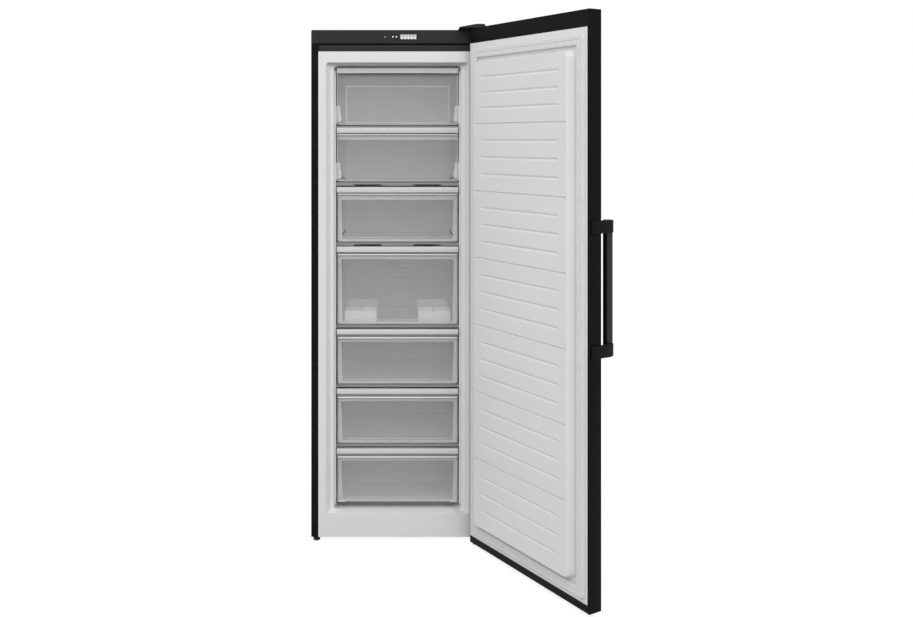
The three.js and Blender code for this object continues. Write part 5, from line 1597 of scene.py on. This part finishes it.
class FREEZER_OT_back(Step, bpy.types.Operator):
    """Makes the grid, its straps and the wall spacers on the back"""

    bl_idname = "freezer.back"
    bl_label = "Back"

    runs, pitch = 13, 0.088
    strap, strap_wall, strap_inset, strap_foot = 0.014, 0.002, 0.021, 0.010
    ribs, rib_half, rib_inset, rib_tall, peg_end = 5, 0.0015, 0.006, 0.003, 0.01

    def make(self):
        self.coil()
        for side in ("left", "right"):
            self.spacer(side)

    def coil(self):
        """Level runs of tube joined by half circles, as one path, on two straps."""
        low, high = box("condenser_coil")
        radius, strap = sizes().coil_tube, self.strap
        bend = self.pitch / 2
        half = (high[0] - low[0]) / 2 - bend - radius
        y = high[1] - max(radius, self.strap_wall)
        bottom = low[2] + strap
        top = bottom + (self.runs - 1) * self.pitch
        angle = np.linspace(0, math.pi, 13)
        path = []
        for run in range(self.runs):
            side, z = (LEFT if run % 2 else RIGHT), bottom + run * self.pitch
            path.append([(MIDDLE - side * half * part, y, z) for part in np.linspace(1, -1, 5)[:-1]])
            if run < self.runs - 1:
                x = MIDDLE + side * (half + bend * np.sin(angle))
                rise = bend * (1 - np.cos(angle))
                path.append(np.stack([x, np.full_like(x, y), z + rise], axis=-1)[:-1])
        path.append([(MIDDLE + side * half, y, top)])
        coil = Surface().tube(np.concatenate(path), radius)
        for side in (LEFT, RIGHT):
            middle = MIDDLE + side * (half - self.strap_inset)
            left, right = middle - strap / 2, middle + strap / 2
            end = (right, y + self.strap_wall, top + strap)
            coil.slab((left, y, bottom - strap), end, 1, corner=0.002, edge=0.0004)
            for z in (bottom - strap, top):
                end = (right, y + 0.001, z + self.strap_foot)
                coil.slab((left, low[1], z), end, 0, corner=0.001, edge=0.0004)
        piece("coil_grid", coil, "cabinet", "black_steel", ("condenser_coil",))

    def spacer(self, side):
        """A hollow peg with a rounded outline and a ribbed pad."""
        low, high = box(f"wall_spacer_{side}")
        peg = Surface().slab(low, high, 1, corner=0.006, edge=0.0015)
        for place in np.linspace(low[2] + self.peg_end, high[2] - self.peg_end, self.ribs):
            start = (low[0] + self.rib_inset, high[1] - self.rib_tall, place - self.rib_half)
            end = (high[0] - self.rib_inset, high[1], place + self.rib_half)
            peg.slab(start, end, 1, corner=0.001, edge=0.0004)
        piece(f"wall_peg_{side}", peg, "cabinet", "black_plastic", (f"wall_spacer_{side}",))


class FREEZER_OT_machine(Step, bpy.types.Operator):
    """Makes the compressor, the drain tray and the lead's gland"""

    bl_idname = "freezer.machine"
    bl_label = "Machine space"

    foot_plate, pot_radius, seam = 0.008, 0.074, 0.0012
    # the case of the terminals, from the pot's axis and its foot
    case_half, case_reach, case_heights = 0.03, (0.045, 0.085), (0.03, 0.085)
    tray_wall, tray_corner = 0.002, 0.016
    neck_inset, bore = 0.003, 0.0035

    def make(self):
        self.compressor()
        self.tray()
        self.gland()

    def compressor(self):
        """A pot turned about an upright axis, with a welded seam, on a pressed base plate."""
        low, high = box("compressor")
        x, y = (low[:2] + high[:2]) / 2
        foot = low[2] + self.foot_plate
        tall, wide = high[2] - foot, self.pot_radius
        shell = wide - self.seam
        profile = [
            (0, 0), (0.050, 0), (0.059, 0.002), (0.067, 0.009), (0.072, 0.018), (shell, 0.030),
            (shell, tall * 0.52), (wide, tall * 0.53), (wide, tall * 0.56), (shell, tall * 0.57),
            (shell - 0.0003, tall - 0.030), (0.070, tall - 0.018), (0.060, tall - 0.0075),
            (0.045, tall - 0.0025), (0.026, tall), (0, tall),
        ]
        pot = Surface().turned(profile, (x, y, foot))
        pot.slab(low, (high[0], high[1], foot), corner=0.016, edge=0.002)
        half, (start, end), (bottom, top) = self.case_half, self.case_reach, self.case_heights
        case_low, case_high = (x + start, y - half, foot + bottom), (x + end, y + half, foot + top)
        pot.slab(case_low, case_high, 0, corner=0.006, edge=0.003)
        piece("compressor_pot", pot, "cabinet", "black_steel", ("compressor",))

    def tray(self):
        """A tray as rings: up the outside, over the rim and down the inside."""
        low, high = box("drain_tray")
        wall, bottom, top = self.tray_wall, low[2], high[2]
        rings = [
            lifted(round_loop(low[:2] + inset, high[:2] - inset, self.tray_corner - inset), 2, z)
            for inset, z in (
                (0.003, bottom), (0.0, bottom + 0.003), (0.0, top), (wall, top), (wall, bottom + 0.006),
                (wall + 0.003, bottom + wall),
            )
        ]
        tray = Surface().grid(rings, closed=True, ends=True)
        piece("drain_pan", tray, "cabinet", "black_plastic", ("drain_tray",), bevel=0.0006)

    def gland(self):
        """A turned rubber sleeve with rings round its neck and an open bore."""
        low, high = box("cable_gland")
        x, _, z = (low + high) / 2
        outer, long = (high[0] - low[0]) / 2, high[1] - low[1]
        neck, groove, bore = outer - self.neck_inset, outer - self.neck_inset - 0.0012, self.bore
        profile = [(bore, 0), (outer, 0), (outer, 0.003), (neck, 0.003), (neck, 0.0062)]
        for start in np.linspace(0.0075, long - 0.004, 4):
            profile += [
                (neck, start), (groove, start + 0.0006), (groove, start + 0.0014),
                (neck, start + 0.002),
            ]
        profile += [(neck, long), (bore, long), (bore, 0)]
        gland = Surface().turned(profile, (x, low[1], z), 1, sides=32)
        piece("lead_gland", gland, "cabinet", "black_plastic", ("cable_gland",))


class FREEZER_OT_feet(Step, bpy.types.Operator):
    """Makes the levelling feet and the rear rollers"""

    bl_idname = "freezer.feet"
    bl_label = "Feet and rollers"

    stud, thread, thread_pitch, pad = 0.004, 0.00035, 0.0006, 0.009
    knurls, knurl_depth = 24, 0.04
    roller_bore = 0.0033

    def make(self):
        for side in ("left", "right"):
            self.foot(side)
            self.roller(side)

    def foot(self, side):
        """A pad with a knurled rim: its radius waves round the axis. The stud is threaded."""
        low, high = box(f"foot_{side}")
        centre, radius, top = (low[:2] + high[:2]) / 2, (high[0] - low[0]) / 2, high[2]
        stud, pad = self.stud, self.pad
        turns = np.arange(pad + 0.001, top - 0.001, self.thread_pitch)
        waves = stud - self.thread * (np.arange(len(turns)) % 2)
        profile = [
            (0, 0), (radius - 0.0012, 0), (radius, 0.0012), (radius, pad - 0.001), (radius - 0.001, pad),
            (stud, pad), *zip(waves, turns), (stud - 0.0008, top), (0, top),
        ]
        foot = Surface().turned(profile, (*centre, 0))
        foot.moved(lambda points: self.knurl(points, centre, radius))
        piece(f"foot_pad_{side}", foot, f"{side}_foot", "black_plastic", (f"foot_{side}",))

    def knurl(self, points, centre, radius):
        """The points near the rim drawn in by a share where the cosine of many turns is negative."""
        away = points[:, :2] - centre
        angle = np.arctan2(away[:, 1], away[:, 0])
        rim = np.linalg.norm(away, axis=1) > radius * 0.95
        factor = np.where(rim, 1 - self.knurl_depth * (np.cos(angle * self.knurls) < 0), 1.0)
        return np.column_stack([centre + away * factor[:, None], points[:, 2]])

    def roller(self, side):
        """A wheel with a tread groove and a dished side; its profile is the same from both ends."""
        low, high = box(f"roller_{side}")
        _, y, z = (low + high) / 2
        radius, width, bore = (high[2] - low[2]) / 2, high[0] - low[0], self.roller_bore
        half = np.array([
            (bore, 0), (bore + 0.003, 0), (bore + 0.004, 0.003), (radius - 0.004, 0.003),
            (radius - 0.003, 0), (radius - 0.001, 0), (radius, 0.001),
            (radius, width / 2 - 0.0015), (radius - 0.001, width / 2),
        ])
        other = half[-2::-1] * [1, -1] + [0, width]
        wheel = Surface().turned(np.concatenate([half, other, half[:1]]), (low[0], y, z), 0)
        piece(f"roller_wheel_{side}", wheel, f"{side}_roller", "black_plastic", (f"roller_{side}",))


class FREEZER_OT_kept(Step, bpy.types.Operator):
    """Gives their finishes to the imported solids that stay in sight"""

    bl_idname = "freezer.kept"
    bl_label = "Kept solids"

    def make(self):
        slots = {part["node"]: part["material_slot"] for part in frame["record"]["subparts"]}
        for node, made in frame["nodes"].items():
            made.data.materials.clear()
            made.data.materials.append(finish(slots[node]))


# ---------------------------------------------------------------- panel and run


STEPS = (
    FREEZER_OT_stage, FREEZER_OT_kept, FREEZER_OT_shell, FREEZER_OT_controls, FREEZER_OT_lining,
    FREEZER_OT_shelves, FREEZER_OT_flaps, FREEZER_OT_drawers, FREEZER_OT_ice_trays,
    FREEZER_OT_door, FREEZER_OT_seal, FREEZER_OT_handle, FREEZER_OT_hinges, FREEZER_OT_back,
    FREEZER_OT_machine, FREEZER_OT_feet,
)


class FREEZER_PT_panel(bpy.types.Panel):
    """Lists the freezer's steps, sizes and colours"""

    bl_label = "Upright freezer"
    bl_space_type = "VIEW_3D"
    bl_region_type = "UI"
    bl_category = "Freezer"

    def draw(self, context):
        for step in STEPS:
            self.layout.operator(step.bl_idname)
        for group in (context.scene.freezer_sizes, context.scene.freezer_colours):
            column = self.layout.column()
            for name in group.bl_rna.properties.keys():
                if name not in ("rna_type", "name"):
                    column.prop(group, name)


CLASSES = (FreezerSizes, FreezerColours, *STEPS, FREEZER_PT_panel)


def register():
    for each in CLASSES:
        bpy.utils.register_class(each)
    bpy.types.Scene.freezer_sizes = PointerProperty(type=FreezerSizes)
    bpy.types.Scene.freezer_colours = PointerProperty(type=FreezerColours)


def unregister():
    del bpy.types.Scene.freezer_sizes
    del bpy.types.Scene.freezer_colours
    for each in reversed(CLASSES):
        bpy.utils.unregister_class(each)


def main():
    register()
    for step in STEPS:
        group, name = step.bl_idname.split(".")
        getattr(getattr(bpy.ops, group), name)()


if __name__ == "__main__":
    main()
